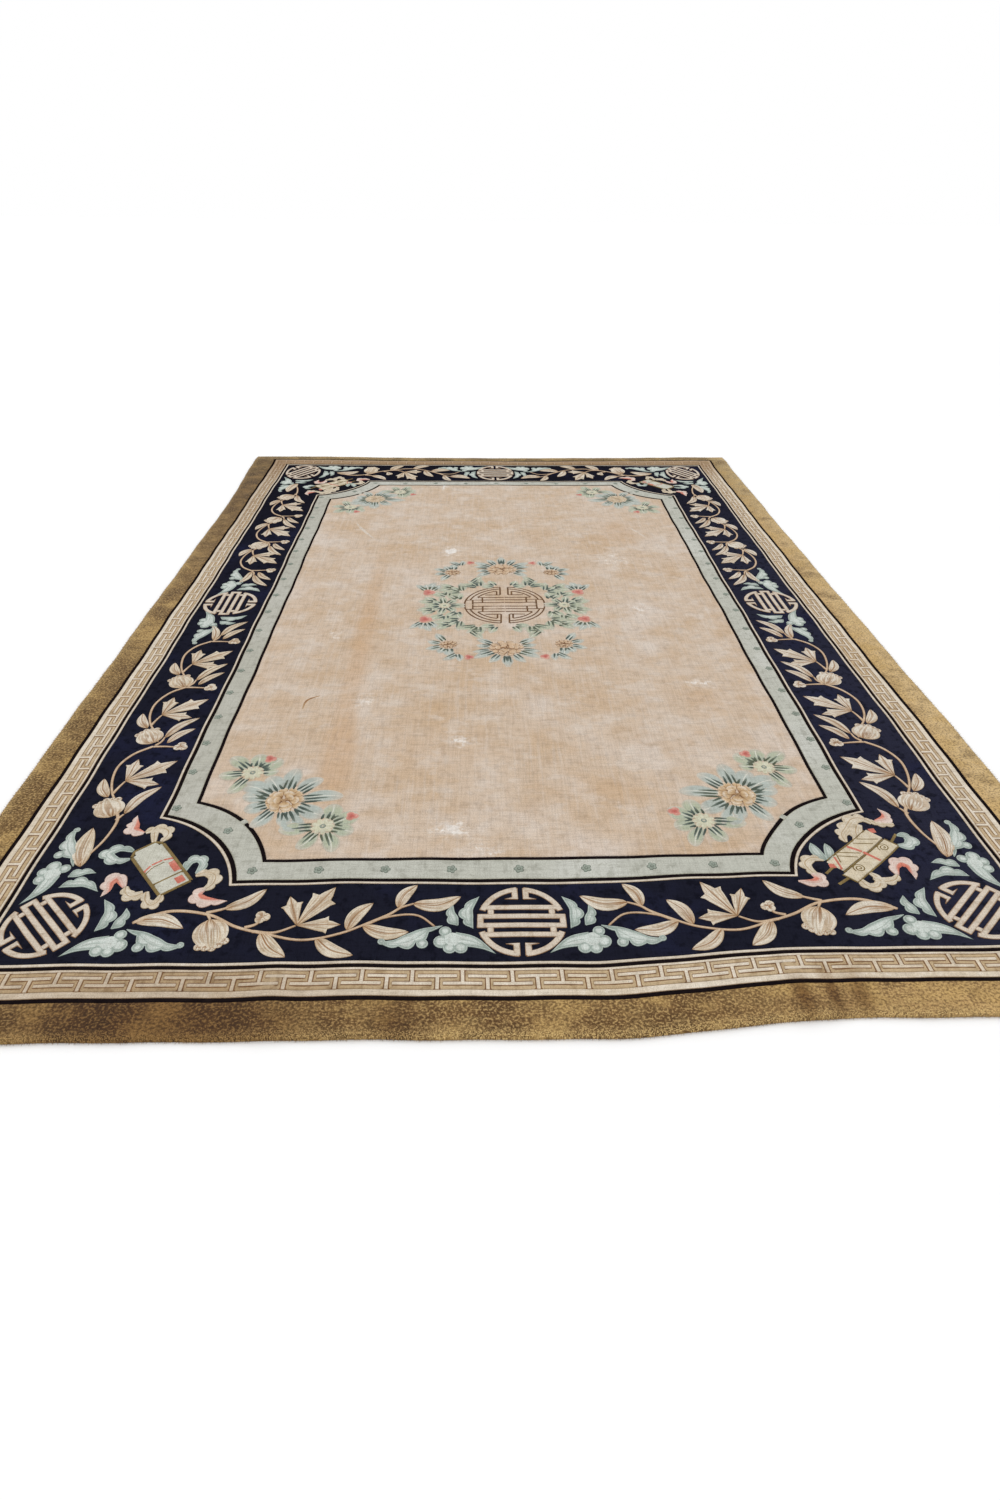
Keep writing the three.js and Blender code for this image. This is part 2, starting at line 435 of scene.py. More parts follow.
def band(outer_offset, inner_offset, loops, groove=BAND_GROOVE, outer_rounding=None):
    """A closed ring of pile between two offsets, rounded down at both its edges."""
    outer, inner = (ring_at(o, o >= BAND_ENDS["navy"] - 1e-6) for o in (outer_offset, inner_offset))
    width = inner_offset - outer_offset
    rounding = min(BAND_ROUNDING, 0.45 * width)
    outer_rounding, outer_drop = outer_rounding or rounding, outer_rounding or groove
    middle = np.linspace(outer_rounding, width - rounding, loops)[1:-1]
    across = np.concatenate([ROUND_STEPS * outer_rounding, middle, width - ROUND_STEPS[::-1] * rounding])
    from_outer = 1 - np.minimum(across / outer_rounding, 1)
    from_inner = 1 - np.minimum((width - across) / rounding, 1)
    heights = PILE_TOP - outer_drop * (1 - np.sqrt(1 - from_outer**2))
    heights -= groove * (1 - np.sqrt(1 - from_inner**2))
    across = np.concatenate([[0], across, [width]])
    heights = np.concatenate([[GROUND_THICKNESS - 1], heights, [GROUND_THICKNESS - 1]])
    share = (across / width)[:, None, None]
    xy = outer[None] * (1 - share) + inner[None] * share
    rows, count = xy.shape[:2]
    verts = np.concatenate([xy, np.broadcast_to(heights[:, None, None], (rows, count, 1))], 2).reshape(-1, 3)
    r, c = np.meshgrid(np.arange(rows), np.arange(count), indexing="ij")
    r2, c2 = (r + 1) % rows, (c + 1) % count
    faces = np.stack([r * count + c, r * count + c2, r2 * count + c2, r2 * count + c], -1).reshape(-1, 4)
    edge = np.repeat(np.minimum(across, width - across), count)
    tip = np.repeat(eased(across, FRAYED_RIM, 0), count)
    return plain_part(verts, faces.tolist())._replace(edge=edge, tip=tip)


def tufts():
    """Loose ends of silk along the rug's edge: small cones that lean out, in rows up the rim."""
    rng = np.random.default_rng(SEED)
    ring = ring_at(0.4, False)
    ring = np.concatenate([ring, ring[:1]])
    run = np.concatenate([[0], np.cumsum(np.linalg.norm(np.diff(ring, axis=0), axis=1))])
    parts = []
    for height in TUFT_HEIGHTS:
        count = int(run[-1] / TUFT_SPACING)
        at = (np.arange(count) + rng.uniform(-0.4, 0.4, count)) % count * run[-1] / count
        xy = np.stack([np.interp(at, run, ring[:, k]) for k in (0, 1)], 1)
        on_short_side = np.abs(xy[:, 0]) / HALF_WIDTH < np.abs(xy[:, 1]) / HALF_LENGTH
        out = np.where(on_short_side[:, None], np.sign(xy) * (0, 1), np.sign(xy) * (1, 0))
        beside = np.stack([-out[:, 1], out[:, 0]], 1)
        inset = EDGE_ROUNDING * eased(height, PILE_TOP - EDGE_ROUNDING, PILE_TOP + 3)
        root = np.column_stack([xy - out * (inset + 1.5), height + rng.uniform(-1, 1, count)])
        lean = np.column_stack([out + beside * rng.normal(0, 0.5, (count, 1)), rng.normal(0.1, 0.45, count)])
        tip = root + lean * rng.uniform(*TUFT_LENGTH, (count, 1))
        tip[:, 2] = np.clip(tip[:, 2], 0.6, PILE_TOP + 1)
        turns = 2 * np.pi * np.arange(3) / 3
        ways = [np.column_stack([beside * np.cos(t), np.full(count, np.sin(t))]) for t in turns]
        foot = [root + TUFT_RADIUS * way for way in ways]
        verts = np.stack([*foot, tip], 1).reshape(-1, 3)
        base = 4 * np.arange(count)[:, None, None]
        faces = (base + np.array([[0, 1, 3], [1, 2, 3], [2, 0, 3], [2, 1, 0]])).reshape(-1, 3)
        parts.append(plain_part(verts, faces.tolist()))
    return parts


# Old gold silk: the nap lies in strokes. Its pale glints, where it would face the eye, are painted sheen,
# and its brown, where it would lean away, is painted shade. The loose ends at the rim are paler.
GOLD_LAYERS = [
    # Painted sheen towards the right and at its far edge; painted shade towards the left and the back
    Layer("X", 0.3, 1.5, 1.0, "#D4AE74"),
    Layer("X", -1.0, -1.5, 0.5, "#755A2C"),
    Layer("Y", 0.5, 2.1, 0.8, "#665426"),
    Layer("X", 1.36, 1.5, 0.5, "#E0CBA0"),
    # Patches and specks of painted sheen, pale, and painted shade, brown, from large to small
    Layer("brush", 0.45, 0.7, 0.4, "#B99A62"),
    Layer("brush", 0.5, 0.3, 0.35, "#644A29"),
    Layer("patch", 0.5, 0.64, 0.5, "#C8A566"),
    Layer("patch", 0.5, 0.36, 0.5, "#50361A"),
    Layer("nap", 0.5, 0.64, 0.25, "#C6A970"),
    Layer("nap", 0.5, 0.36, 0.25, "#523919"),
    Layer("tufts", 0.5, 0.64, 0.5, "#D8B678"),
    Layer("tufts", 0.5, 0.36, 0.5, "#402A12"),
    # Pale specks of painted highlight, strongest near the frayed rim
    Layer("grain", 0.5, 0.62, "tip", "#D6B87C"),
    # More painted shade in the spots of painted shade
    Layer("shaded", 0.0, 1.0, 0.95, "#B09E8A", "MULTIPLY"),
]
gold_silk = silk("old gold silk pile", "#795A34", GOLD_LAYERS, sheen=0.0)
gold_band = band(0.0, BAND_ENDS["gold"], GOLD_LOOPS, outer_rounding=EDGE_ROUNDING)
rug_piece("gold_border", [gold_band], gold_silk)
frayed_silk = silk("frayed gold silk", "#A58350", [Layer("nap", 0.5, 0.62, 0.8, "#6E5030")])
rug_piece("edge_tufts", tufts(), frayed_silk)


# Dark and cream lines: narrow bands of pile that part the wide ones.
# They are knotted with the rest and cut round by the shears.
LINE_LOOPS = 4
GUARD_GAP = 22.0  # length of the break at the middle of each corner's inner dark line


def lines(*names):
    order = list(BAND_ENDS)
    return [band(BAND_ENDS[order[order.index(n) - 1]], BAND_ENDS[n], LINE_LOOPS, groove=1.6) for n in names]


# Black-brown silk, so dark that it hardly gives back any light; and ivory silk, brown along its carved
# edges.
DARK_LAYERS = [Layer("mottle", 0.5, 0.7, 0.6, "#231C1C")]
dark_silk = silk("black brown silk pile", "#1A1416", DARK_LAYERS, sheen=0.0, gloss=0.0)
cream_silk = silk(
    "ivory line silk pile",
    "#D6CAB8",
    [Layer("mottle", 0.5, 0.7, 0.6, "#E2DACD"), Layer("edge", 1.6, 0.4, 0.7, "#87693F")],
)
rug_piece("dark_lines", lines("outer line", "fret line", "navy line", "field line"), dark_silk)
rug_piece("cream_lines", lines("fret cream", "navy cream"), cream_silk)


# Fret band: a tan ground with two pale rails, and pale T bars that hang from one and stand on the other.
# All of it is pile. The shears have cut along each bar, and the shade in that groove is painted as a brown
# line round it.
FRET_PITCH = 120.0
OUTER_RAIL, INNER_RAIL = 19.0, 9.0
FRET_BAR = 11.5
# Painted shade in the groove round each bar: the width of that brown line
FRET_SHADOW_WIDTH = 4.0  # width of the brown line round each bar
FRET_CROSS = 10.5  # how far past the middle of the ground a T's cross bar lies
FRET_CROSS_HALF = 48.0
FRET_RISE = 1.2
# How high the painted shade in the groove stands
SHADOW_RISE = 0.4
FRET_LOOPS = 6
RAIL_LOOPS = 4
Place = namedtuple("Place", "origin along inward")
# Shares of the half width at which a motif or a plain bar has its columns of points
ACROSS = np.array([-1, -0.92, -0.75, -0.4, 0, 0.4, 0.75, 0.92, 1])
BAR_ACROSS = np.array([-1, -0.8, -0.45, 0.45, 0.8, 1])
THIN_ACROSS = np.array([-1, -0.6, 0.6, 1])
SINK = 1.2  # a motif's edge starts this far under the pile round it
MOTIF_DEPTH = 1.0  # and its underside lies this much lower


def curve(points, count=14):
    """A smooth line through a few points."""
    p = np.asarray(points, float)
    if len(p) == 2:
        return p[0] + (p[1] - p[0]) * np.linspace(0, 1, count)[:, None]
    p = np.concatenate([[2 * p[0] - p[1]], p, [2 * p[-1] - p[-2]]])
    t = np.linspace(0, len(p) - 3 - 1e-9, count)
    i = t.astype(int)
    f = (t - i)[:, None]
    a, b, c, d = p[i], p[i + 1], p[i + 2], p[i + 3]
    return 0.5 * (2 * b + (c - a) * f + (2 * a - 5 * b + 4 * c - d) * f**2 + (3 * b - a - 3 * c + d) * f**3)


def length_along(line):
    return np.concatenate([[0], np.cumsum(np.linalg.norm(np.diff(line, axis=0), axis=1))])


def swathe(place, line, half, rise=1.7, rounding=5.0, vein=0.0, square=False, across=ACROSS):
    """A raised motif on a line of the place, with a groove of depth vein along its middle.

    half is its half width: one number, one for each point, or a left and a right for each."""
    line, half = np.asarray(line, float), np.asarray(half, float)
    count, columns = len(line), len(across)
    half = np.broadcast_to(half if half.ndim == 2 else half.reshape(-1, 1), (count, 2))
    origin, along, inward = (np.asarray(v, float) for v in place)
    if along[0] * inward[1] - along[1] * inward[0] < 0:
        half = half[:, ::-1]
    line = origin + line[:, :1] * along + line[:, 1:] * inward
    tangent = np.gradient(line, axis=0)
    tangent /= np.linalg.norm(tangent, axis=1)[:, None]
    left = np.stack([-tangent[:, 1], tangent[:, 0]], 1)
    reach = np.where(across > 0, half[:, :1], half[:, 1:])
    xy = line[:, None] + left[:, None] * (across * reach)[..., None]
    run = length_along(line)
    edge = (1 - np.abs(across)) * reach
    if square:
        edge = np.minimum(edge, np.minimum(run, run[-1] - run)[:, None])
    from_vein = np.abs(across) * reach
    dome = np.sqrt(1 - (1 - np.clip(edge / rounding, 0, 1)) ** 2)
    z = PILE_TOP - SINK + (SINK + rise) * dome - vein * np.exp(-((from_vein / 2.5) ** 2)) * (dome > 0.5)
    top = np.concatenate([xy, z[..., None]], 2)
    under = top[:, [0, -1]].copy()
    under[..., 2] = PILE_TOP - SINK - MOTIF_DEPTH
    number = count * columns
    i, j = np.meshgrid(np.arange(count - 1), np.arange(columns - 1), indexing="ij")
    a = i * columns + j
    k = np.arange(count - 1)
    right_top, left_top = k * columns, k * columns + columns - 1
    right_low, left_low = number + 2 * k, number + 2 * k + 1
    faces = np.concatenate(
        [
            np.stack([a, a + columns, a + columns + 1, a + 1], -1).reshape(-1, 4),
            np.stack([right_low, left_low, left_low + 2, right_low + 2], -1),
            np.stack([right_top, right_low, right_low + 2, right_top + columns], -1),
            np.stack([left_top, left_top + columns, left_low + 2, left_low], -1),
        ]
    ).tolist()
    last = number - columns
    faces.append([*range(columns), number + 1, number])
    faces.append([*range(number - 1, last - 1, -1), number + 2 * count - 2, number + 2 * count - 1])
    share = run / run[-1]
    fan = np.stack([np.repeat(share, columns), np.tile((across + 1) / 2, count)], 1)
    tip = np.repeat(share[:, None], columns, axis=1)
    core = (1 - tip) * (1 - np.abs(across))
    marks = [np.concatenate([m.ravel(), m[:, [0, -1]].ravel()]) for m in (edge, from_vein, tip, core)]
    fan = np.concatenate([fan, np.repeat(np.stack([share, share], 1), 2, axis=0)])
    return Part(np.concatenate([top.reshape(-1, 3), under.reshape(-1, 3)]), faces, fan, *marks)


def bar(place, line, half, rise=1.5, rounding=3.0, steps=3, across=BAR_ACROSS):
    """A swathe of one width, with square ends that round down as its sides do."""
    line = np.asarray(line, float)
    run = length_along(line)
    rounding = min(rounding, 0.8 * half, run[-1] / 2)
    middle = np.linspace(rounding, run[-1] - rounding, steps)[1:-1]
    at = np.concatenate([ROUND_STEPS * rounding, middle, run[-1] - ROUND_STEPS[::-1] * rounding])
    line = np.stack([np.interp(at, run, line[:, k]) for k in (0, 1)], 1)
    return swathe(place, line, half, rise, rounding, square=True, across=across)


def sides(offset):
    """Each side at an offset: a place at its middle, facing along it and inwards, and its half length."""
    x, y = HALF_WIDTH - offset, HALF_LENGTH - offset
    return [
        (Place((0, -y), (1, 0), (0, 1)), x),
        (Place((x, 0), (0, 1), (-1, 0)), y),
        (Place((0, y), (-1, 0), (0, -1)), x),
        (Place((-x, 0), (0, -1), (1, 0)), y),
    ]


fret_start, fret_end = BAND_ENDS["outer line"] + OUTER_RAIL, BAND_ENDS["fret"] - INNER_RAIL


def fret_bars(width, rise, across=BAR_ACROSS):
    parts = []
    reach = (fret_end - fret_start) / 2 + 2  # a stem's root lies just inside its rail
    for place, length in sides((fret_start + fret_end) / 2):
        units = round(2 * length / FRET_PITCH)
        for k in range(2 * units):
            s = -length + (k + 0.5) * length / units
            hang = -1 if k % 2 else 1
            stem = [(s, hang * reach), (s, -hang * FRET_CROSS)]
            left, right = max(s - FRET_CROSS_HALF, -length), min(s + FRET_CROSS_HALF, length)
            cross = [(left, -hang * FRET_CROSS), (right, -hang * FRET_CROSS)]
            parts.append(bar(place, stem, width / 2, rise + 0.1, across=across))
            parts.append(bar(place, cross, width / 2, rise, across=across))
    return parts


# Tan silk that the carver has cut low, brown painted shadow in the grooves round the bars, and ivory silk
# bars whose cut edges carry the same painted shade. Painted shade also darkens both where the spots of
# painted shade lie.
tan_silk = silk(
    "tan silk pile",
    "#C3AB87",
    [
        Layer("cloud", 0.45, 0.65, 0.7, "#CFBD9F"),
        Layer("mottle", 0.5, 0.3, 0.6, "#A58860"),
        Layer("Y", 1.6, 2.05, 0.75, "#8C6A3E"),
        Layer("shaded", 0.0, 0.6, 0.45, "#B8A286", "MULTIPLY"),
    ],
)
groove_shadow_silk = silk("brown painted groove shadow", "#744E2A", [Layer("mottle", 0.5, 0.68, 0.6, "#96744A")])
rail_silk = silk(
    "ivory fret silk pile",
    "#E0D4C1",
    [
        Layer("cloud", 0.5, 0.35, 0.6, "#D3C2A8"),
        Layer("mottle", 0.5, 0.7, 0.6, "#EBE2D4"),
        # Painted shade along the cut edges of rails and bars
        Layer("edge", 2.6, 0.8, 0.8, "#8E6B40"),
        Layer("Y", 1.6, 2.05, 0.75, "#A5835A"),
        Layer("shaded", 0.0, 0.6, 0.45, "#B8A286", "MULTIPLY"),
    ],
)
rug_piece("fret_ground", [band(fret_start, fret_end, FRET_LOOPS)], tan_silk)
rail_edges = [(BAND_ENDS["outer line"], fret_start), (fret_end, BAND_ENDS["fret"])]
rails = [band(*edges, RAIL_LOOPS) for edges in rail_edges]
# A brown sheet of painted shade in the grooves round the bars
rug_piece("fret_groove_shadows", fret_bars(FRET_BAR + 2 * FRET_SHADOW_WIDTH, SHADOW_RISE, THIN_ACROSS), groove_shadow_silk)
rug_piece("fret_rails_and_bars", [*rails, *fret_bars(FRET_BAR, FRET_RISE)], rail_silk)


# Navy border: the dark ground of the flowering vines, knotted in deep blue.
# It is shorn a little lower than the motifs that stand on it.
NAVY_LOOPS = 14
# Indigo silk, dyed almost to black, lighter and bluer towards the right and darker towards the back.
NAVY_LAYERS = [
    Layer("X", 0.6, 1.3, 0.4, "#393A4E"),
    Layer("Y", 0.4, 1.6, 0.5, "#17161B"),
    Layer("cloud", 0.5, 0.7, 0.7, "#23263F"),
    Layer("mottle", 0.5, 0.32, 0.6, "#14151F"),
]
navy_silk = silk("indigo silk pile", "#1E1F2B", NAVY_LAYERS, sheen=0.0, gloss=0.0)
rug_piece("navy_border", [band(BAND_ENDS["fret cream"], BAND_ENDS["navy"], NAVY_LOOPS)], navy_silk)


# Fret roundels: round longevity ornaments of pale bars, at the middle of each side and in each corner.
# Their bars lie along the edge they stand by, and across the diagonal in the corners.
ROUNDEL_RADIUS = 116.0
ROUNDEL_OFFSET = 336.0  # from the rug's edge to the line on which roundels and vines lie
CORNER_ROUNDELS = [(-1201, -1818), (-1196, 1824), (1185, -1818), (1185, 1824)]  # left two, then right two
CORNER_RADIUS = 107.0
# Shares of a roundel's radius: its bars' half width, and how far out its chords and middle bars lie
ROUNDEL_BAR = 0.082
ROUNDEL_CHORD = 0.385
ROUNDEL_MIDDLE_BAR = 0.128
LONG_MIDDLE = HALF_LENGTH - ROUNDEL_OFFSET
SHORT_MIDDLE = HALF_WIDTH - ROUNDEL_OFFSET
QUARTERS = [(sx, sy) for sx in (-1, 1) for sy in (-1, 1)]


def roundel(place, radius):
    """A broken ring with hooked ends, a chord across each half, and a slotted bar through the middle.

    Sizes are shares of the radius."""
    thick = ROUNDEL_BAR * radius
    parts = []
    for up in (1, -1):
        chord, middle_bar = up * ROUNDEL_CHORD, up * ROUNDEL_MIDDLE_BAR
        lines = [
            [(-0.9, chord), (0.9, chord)],
            [(-0.98, middle_bar), (0.98, middle_bar)],
        ]
        for side in (1, -1):
            turn = np.radians(np.linspace(18.5, 86, 14))
            ring = np.stack([side * np.cos(turn), up * np.sin(turn)], 1) * (radius - thick)
            parts.append(bar(place, ring, thick, steps=12))
            lines += [
                [(side * 0.125, up * 0.97), (side * 0.125, up * 0.62)],
                [(side * 0.68, up * 0.17), (side * 0.68, up * 0.34)],
            ]
            hook = np.array([(side * 0.06, up * 0.665), (side * 0.36, up * 0.635)]) * radius
            parts.append(swathe(place, curve(hook, 6), np.linspace(0.055, 0.012, 6) * radius, rounding=3))
        parts += [bar(place, np.array(line) * radius, thick) for line in lines]
    for side in (1, -1):
        parts.append(bar(place, np.array([(side * 0.905, -0.2), (side * 0.905, 0.2)]) * radius, thick))
    return parts


def border_roundels():
    parts = [part for place, _ in sides(ROUNDEL_OFFSET) for part in roundel(place, ROUNDEL_RADIUS)]
    for (sx, sy), middle in zip(QUARTERS, CORNER_ROUNDELS):
        diagonal = np.array([-sx, -sy]) / np.sqrt(2)
        parts += roundel(Place(middle, (diagonal[1], -diagonal[0]), diagonal), CORNER_RADIUS)
    return parts


# Sand silk, paler along the middle of each bar; brown at its edges as painted shade where the shears cut
# down to the navy.
roundel_silk = silk(
    "sand silk pile",
    "#D4C6B4",
    [
        Layer("cloud", 0.45, 0.65, 0.8, "#DACFC0"),
        Layer("mottle", 0.5, 0.3, 0.5, "#C3A888"),
        Layer("vein", 5.0, 3.0, 0.25, "#E2D8CA"),
        # Painted shade at the cut edges of the bars
        Layer("edge", 3.4, 1.0, 0.95, "#86603A"),
    ],
)
rug_piece("border_roundels", border_roundels(), roundel_silk)


# Flowering vines: stems, leaves, lilies, fruit and buds in beige with brown veins, carved clear of the navy.
# One run of vine fills half a short side, and another half a long one.
# Rows give s, along the run from the side's middle, and t, towards the field.
SCALLOP = 0.5  # depth of the notches between lobes, as a share of the half width
STEM_WIDTH = 12.0
STEM_TAPER = 0.6
Leaf = namedtuple("Leaf", "s t tip_s tip_t width bow")
Fruit = namedtuple("Fruit", "s t crown_s crown_t radius")
Bud = namedtuple("Bud", "s t radius")
FRONT_STEMS = [
    [(990, -3), (900, 36), (800, 27), (720, -16), (640, -42),
     (550, -62), (450, -43), (350, 7), (270, 17), (215, -23)],
    [(405, -23), (340, 17), (310, 42), (275, 57)],
    [(810, 32), (765, 45), (740, 60)],
    [(700, -20), (672, -10), (660, 8)],
    [(680, -32), (620, -38), (566, -14)],
    [(800, 28), (790, 8)],
]
FRONT_LEAVES = [
    Leaf(982, 4, 850, -20, 46, -0.12),
    Leaf(765, 45, 668, 112, 40, 0.12),
    Leaf(655, -36, 578, -116, 48, 0.1),
    Leaf(515, -55, 415, -113, 42, 0.12),
    Leaf(440, -35, 382, 57, 42, -0.1),
    Leaf(402, -20, 282, -38, 44, 0.12),
    Leaf(317, 40, 272, 122, 38, -0.12),
    Leaf(282, 55, 155, 84, 46, 0.14),
]
FRONT_FRUIT = [Fruit(792, 8, 762, -86, 46)]
FRONT_BUDS = [Bud(660, 14, 23)]
FRONT_LILIES = [(566, -14)]
SIDE_UNITS = (0, 348, 715)  # where each repeat of the side vine starts
SIDE_STEMS = [
    [(340, 16), (385, -36), (450, -63), (520, -59), (585, -36), (640, 0), (690, 20)],
    [(345, 10), (346, 50), (350, 90)],
    [(340, 16), (318, 30), (290, 34)],
    [(590, -34), (555, -26), (525, -16)],
]
SIDE_LEAVES = [
    Leaf(298, 34, 174, 120, 34, 0.1),
    Leaf(328, 50, 240, 124, 32, 0.1),
    Leaf(605, -41, 515, -86, 38, 0.1),
]
SIDE_FRUIT = [Fruit(692, 4, 616, -42, 46)]
SIDE_BUDS = [Bud(346, 102, 26)]
SIDE_LILIES = [(525, -16)]
SIDE_END_STEMS = [[(1380, 9), (1430, 27), (1510, 19), (1590, -6), (1612, -10)], [(1425, 20), (1395, 36)]]
SIDE_END_LEAVES = [
    Leaf(335, 16, 205, -19, 34, -0.08),
    Leaf(1397, 36, 1268, 104, 38, 0.12),
    Leaf(1618, -2, 1456, -32, 56, 0.06),
]
# Petals of a lily: where each one's tip lies from its root, and its width at the teeth
Petal = namedtuple("Petal", "s t width")
LILY_ON_FRONT = [Petal(36, 100, 46), Petal(-78, 128, 62), Petal(-110, -2, 46)]
LILY_ON_SIDE = [Petal(-112, 5, 46), Petal(-102, 132, 62), Petal(18, 108, 46)]
# A petal's outline: how far along it, and its share of the half width; it ends in three teeth
Outline = namedtuple("Outline", "at share")
LILY_OUTLINE = [
    Outline(0.0, 0.12),
    Outline(0.15, 0.34),
    Outline(0.35, 0.66),
    Outline(0.52, 0.92),
    Outline(0.62, 1.05),
    Outline(0.69, 1.3),
    Outline(0.71, 0.66),
    Outline(0.8, 0.52),
    Outline(1.0, 0.02),
]


def leaf(place, row, rise=1.7, slender=0.85):
    """A pointed leaf, fullest near its root, with a carved vein."""
    root, tip = np.array([row.s, row.t]), np.array([row.tip_s, row.tip_t])
    across = np.array([root[1] - tip[1], tip[0] - root[0]])
    u = np.linspace(0, 1, 13)
    shape = u**0.7 * (1 - u) ** slender
    line = curve([root, (root + tip) / 2 + across * row.bow, tip], len(u))
    return swathe(place, line, np.maximum(row.width / 2 * shape / shape.max(), 0.7), rise, vein=0.7)


def disc(place, s, t, radius, rise=1.7, rounding=5.0, lobes=0):
    """A round motif, its edge scalloped into lobes if it has any, its marks measured from its middle."""
    origin, along, inward = (np.asarray(v, float) for v in place)
    count = max(7 * lobes, 16)
    turn = 2 * np.pi * np.arange(count) / count * np.sign(along[0] * inward[1] - along[1] * inward[0])
    reach = radius * (1 - 0.6 * SCALLOP * (1 - np.abs(np.sin(lobes * turn / 2)) ** 0.8) * (lobes > 0))
    shares = np.array([1, 0.9, 0.72, 0.4, 0.02])[:, None]
    spot_s, spot_t = s + shares * reach * np.cos(turn), t + shares * reach * np.sin(turn)
    xy = origin + spot_s[..., None] * along + spot_t[..., None] * inward
    edge = (1 - shares) * reach
    z = PILE_TOP - SINK + (SINK + rise) * np.sqrt(1 - (1 - np.clip(edge / rounding, 0, 1)) ** 2)
    top = np.concatenate([xy, z[..., None]], 2)
    under = top[:1].copy()
    under[..., 2] = PILE_TOP - SINK - MOTIF_DEPTH
    rings = len(shares)
    k, i = np.meshgrid(np.arange(rings - 1), np.arange(count), indexing="ij")
    after = (i + 1) % count
    faces = np.stack([k * count + i, k * count + after, (k + 1) * count + after, (k + 1) * count + i], -1)
    i, after, low = i[0], after[0], rings * count
    walls = np.stack([i, low + i, low + after, after], -1)
    faces = [*faces.reshape(-1, 4).tolist(), *walls.tolist(), list(range(low - count, low))]
    faces.append(list(range(low + count - 1, low - 1, -1)))
    tip = np.concatenate([np.repeat(shares[:, 0], count), np.ones(count)])
    fan = np.stack([tip, np.tile(np.arange(count) / count, rings + 1)], 1)
    part = plain_part(np.concatenate([top, under]).reshape(-1, 3), faces)
    edge = np.concatenate([edge.ravel(), np.zeros(count)])
    return part._replace(fan=fan, edge=edge, tip=tip, core=1 - tip)


def stem(place, points):
    count = 6 * len(points)
    half = np.linspace(STEM_WIDTH, STEM_WIDTH * STEM_TAPER, count) / 2
    return swathe(place, curve(points, count), half, rounding=4, square=True, across=BAR_ACROSS)


def lily(place, root, petals):
    """Broad petals with three teeth at the end, spread from one root."""
    u = np.union1d(np.linspace(0, 1, 13), [row.at for row in LILY_OUTLINE])
    shape = np.interp(u, [row.at for row in LILY_OUTLINE], [row.share for row in LILY_OUTLINE])
    parts = []
    for petal in petals:
        line = np.array(root) + u[:, None] * (petal.s, petal.t)
        parts.append(swathe(place, line, np.maximum(petal.width / 2 * shape, 0.7), vein=0.7, rounding=4))
    return parts


def fruit(place, row):
    """A round fruit on its stalk, with a frilled crown."""
    root, crown = np.array([row.s, row.t], float), np.array([row.crown_s, row.crown_t], float)
    u = np.linspace(0, 1, 17)
    half = row.radius * np.sin(np.pi * np.clip(u, 0.01, 0.985) ** 0.85) ** 0.55
    body = swathe(place, curve([root, crown], len(u)), half, rounding=9)
    parts = [body._replace(vein=body.vein + 9)]  # no vein shows on a fruit
    along = (crown - root) / np.linalg.norm(crown - root)
    across = np.array([-along[1], along[0]])
    for k in range(-2, 3):
        frill = crown - along * (5 + 6 * abs(k)) + across * k * 0.34 * row.radius
        parts.append(disc(place, *frill, 0.26 * row.radius))
    return parts


def bud(place, row):
    return [disc(place, row.s, row.t, row.radius, lobes=3)]


def runs():
    """The eight half sides: a place at a side's middle that faces a corner, and whether the side is long."""
    found = []
    for place, length in sides(ROUNDEL_OFFSET):
        for way in (1, -1):
            half_side = place._replace(along=way * np.array(place.along))
            found.append((half_side, length > SHORT_MIDDLE))
    return found


def moved(rows, distance):
    """Rows with their places along the run moved on."""
    names = [name for name in ("s", "tip_s", "crown_s") if name in rows[0]._fields]
    return [row._replace(**{name: getattr(row, name) + distance for name in names}) for row in rows]


def vine_parts():
    stems, blooms = [], []
    for place, is_long in runs():
        if is_long:
            lines = [[(s + d, t) for s, t in line] for d in SIDE_UNITS for line in SIDE_STEMS]
            lines += SIDE_END_STEMS
            leaves = [row for d in SIDE_UNITS for row in moved(SIDE_LEAVES, d)] + SIDE_END_LEAVES
            fruits = [row for d in SIDE_UNITS for row in moved(SIDE_FRUIT, d)]
            buds = [row for d in SIDE_UNITS for row in moved(SIDE_BUDS, d)]
            lilies, petals = [(s + d, t) for d in SIDE_UNITS for s, t in SIDE_LILIES], LILY_ON_SIDE
        else:
            lines, leaves, fruits, buds = FRONT_STEMS, FRONT_LEAVES, FRONT_FRUIT, FRONT_BUDS
            lilies, petals = FRONT_LILIES, LILY_ON_FRONT
        stems += [stem(place, line) for line in lines]
        blooms += [leaf(place, row) for row in leaves]
        blooms += [part for row in fruits for part in fruit(place, row)]
        blooms += [part for row in buds for part in bud(place, row)]
        blooms += [part for root in lilies for part in lily(place, root, petals)]
    return stems, blooms


# Peach tan silk for stems; beige silk for leaves and flowers, with brown veins that fan from their roots.
stem_silk = silk(
    "peach tan stem silk",
    "#CDB294",
    [Layer("mottle", 0.5, 0.7, 0.7, "#DAC6AC"), Layer("edge", 2.6, 0.7, 0.9, "#86603A")],
)
bloom_silk = silk(
    "beige bloom silk",
    "#DED3BF",
    [
        Layer("X", 0.3, 1.2, 0.5, "#E0DBD2"),
        Layer("cloud", 0.45, 0.65, 0.7, "#E4DDD0"),
        Layer("mottle", 0.5, 0.3, 0.4, "#D0BF9F"),
        Layer("tip", 0.35, 0.0, 0.6, "#C9A67A"),
        Layer("fan", 0.47, 0.56, 0.4, "#BE9C6C"),
        Layer("fan", 0.42, 0.56, "core", "#85562A"),
        Layer("vein", 2.6, 0.6, 0.75, "#94683A"),
        Layer("edge", 2.6, 0.7, 0.8, "#86602F"),
    ],
)
vine_stems, vine_blooms = vine_parts()
rug_piece("vine_stems", vine_stems, stem_silk)
rug_piece("vine_leaves_and_blooms", vine_blooms, bloom_silk)


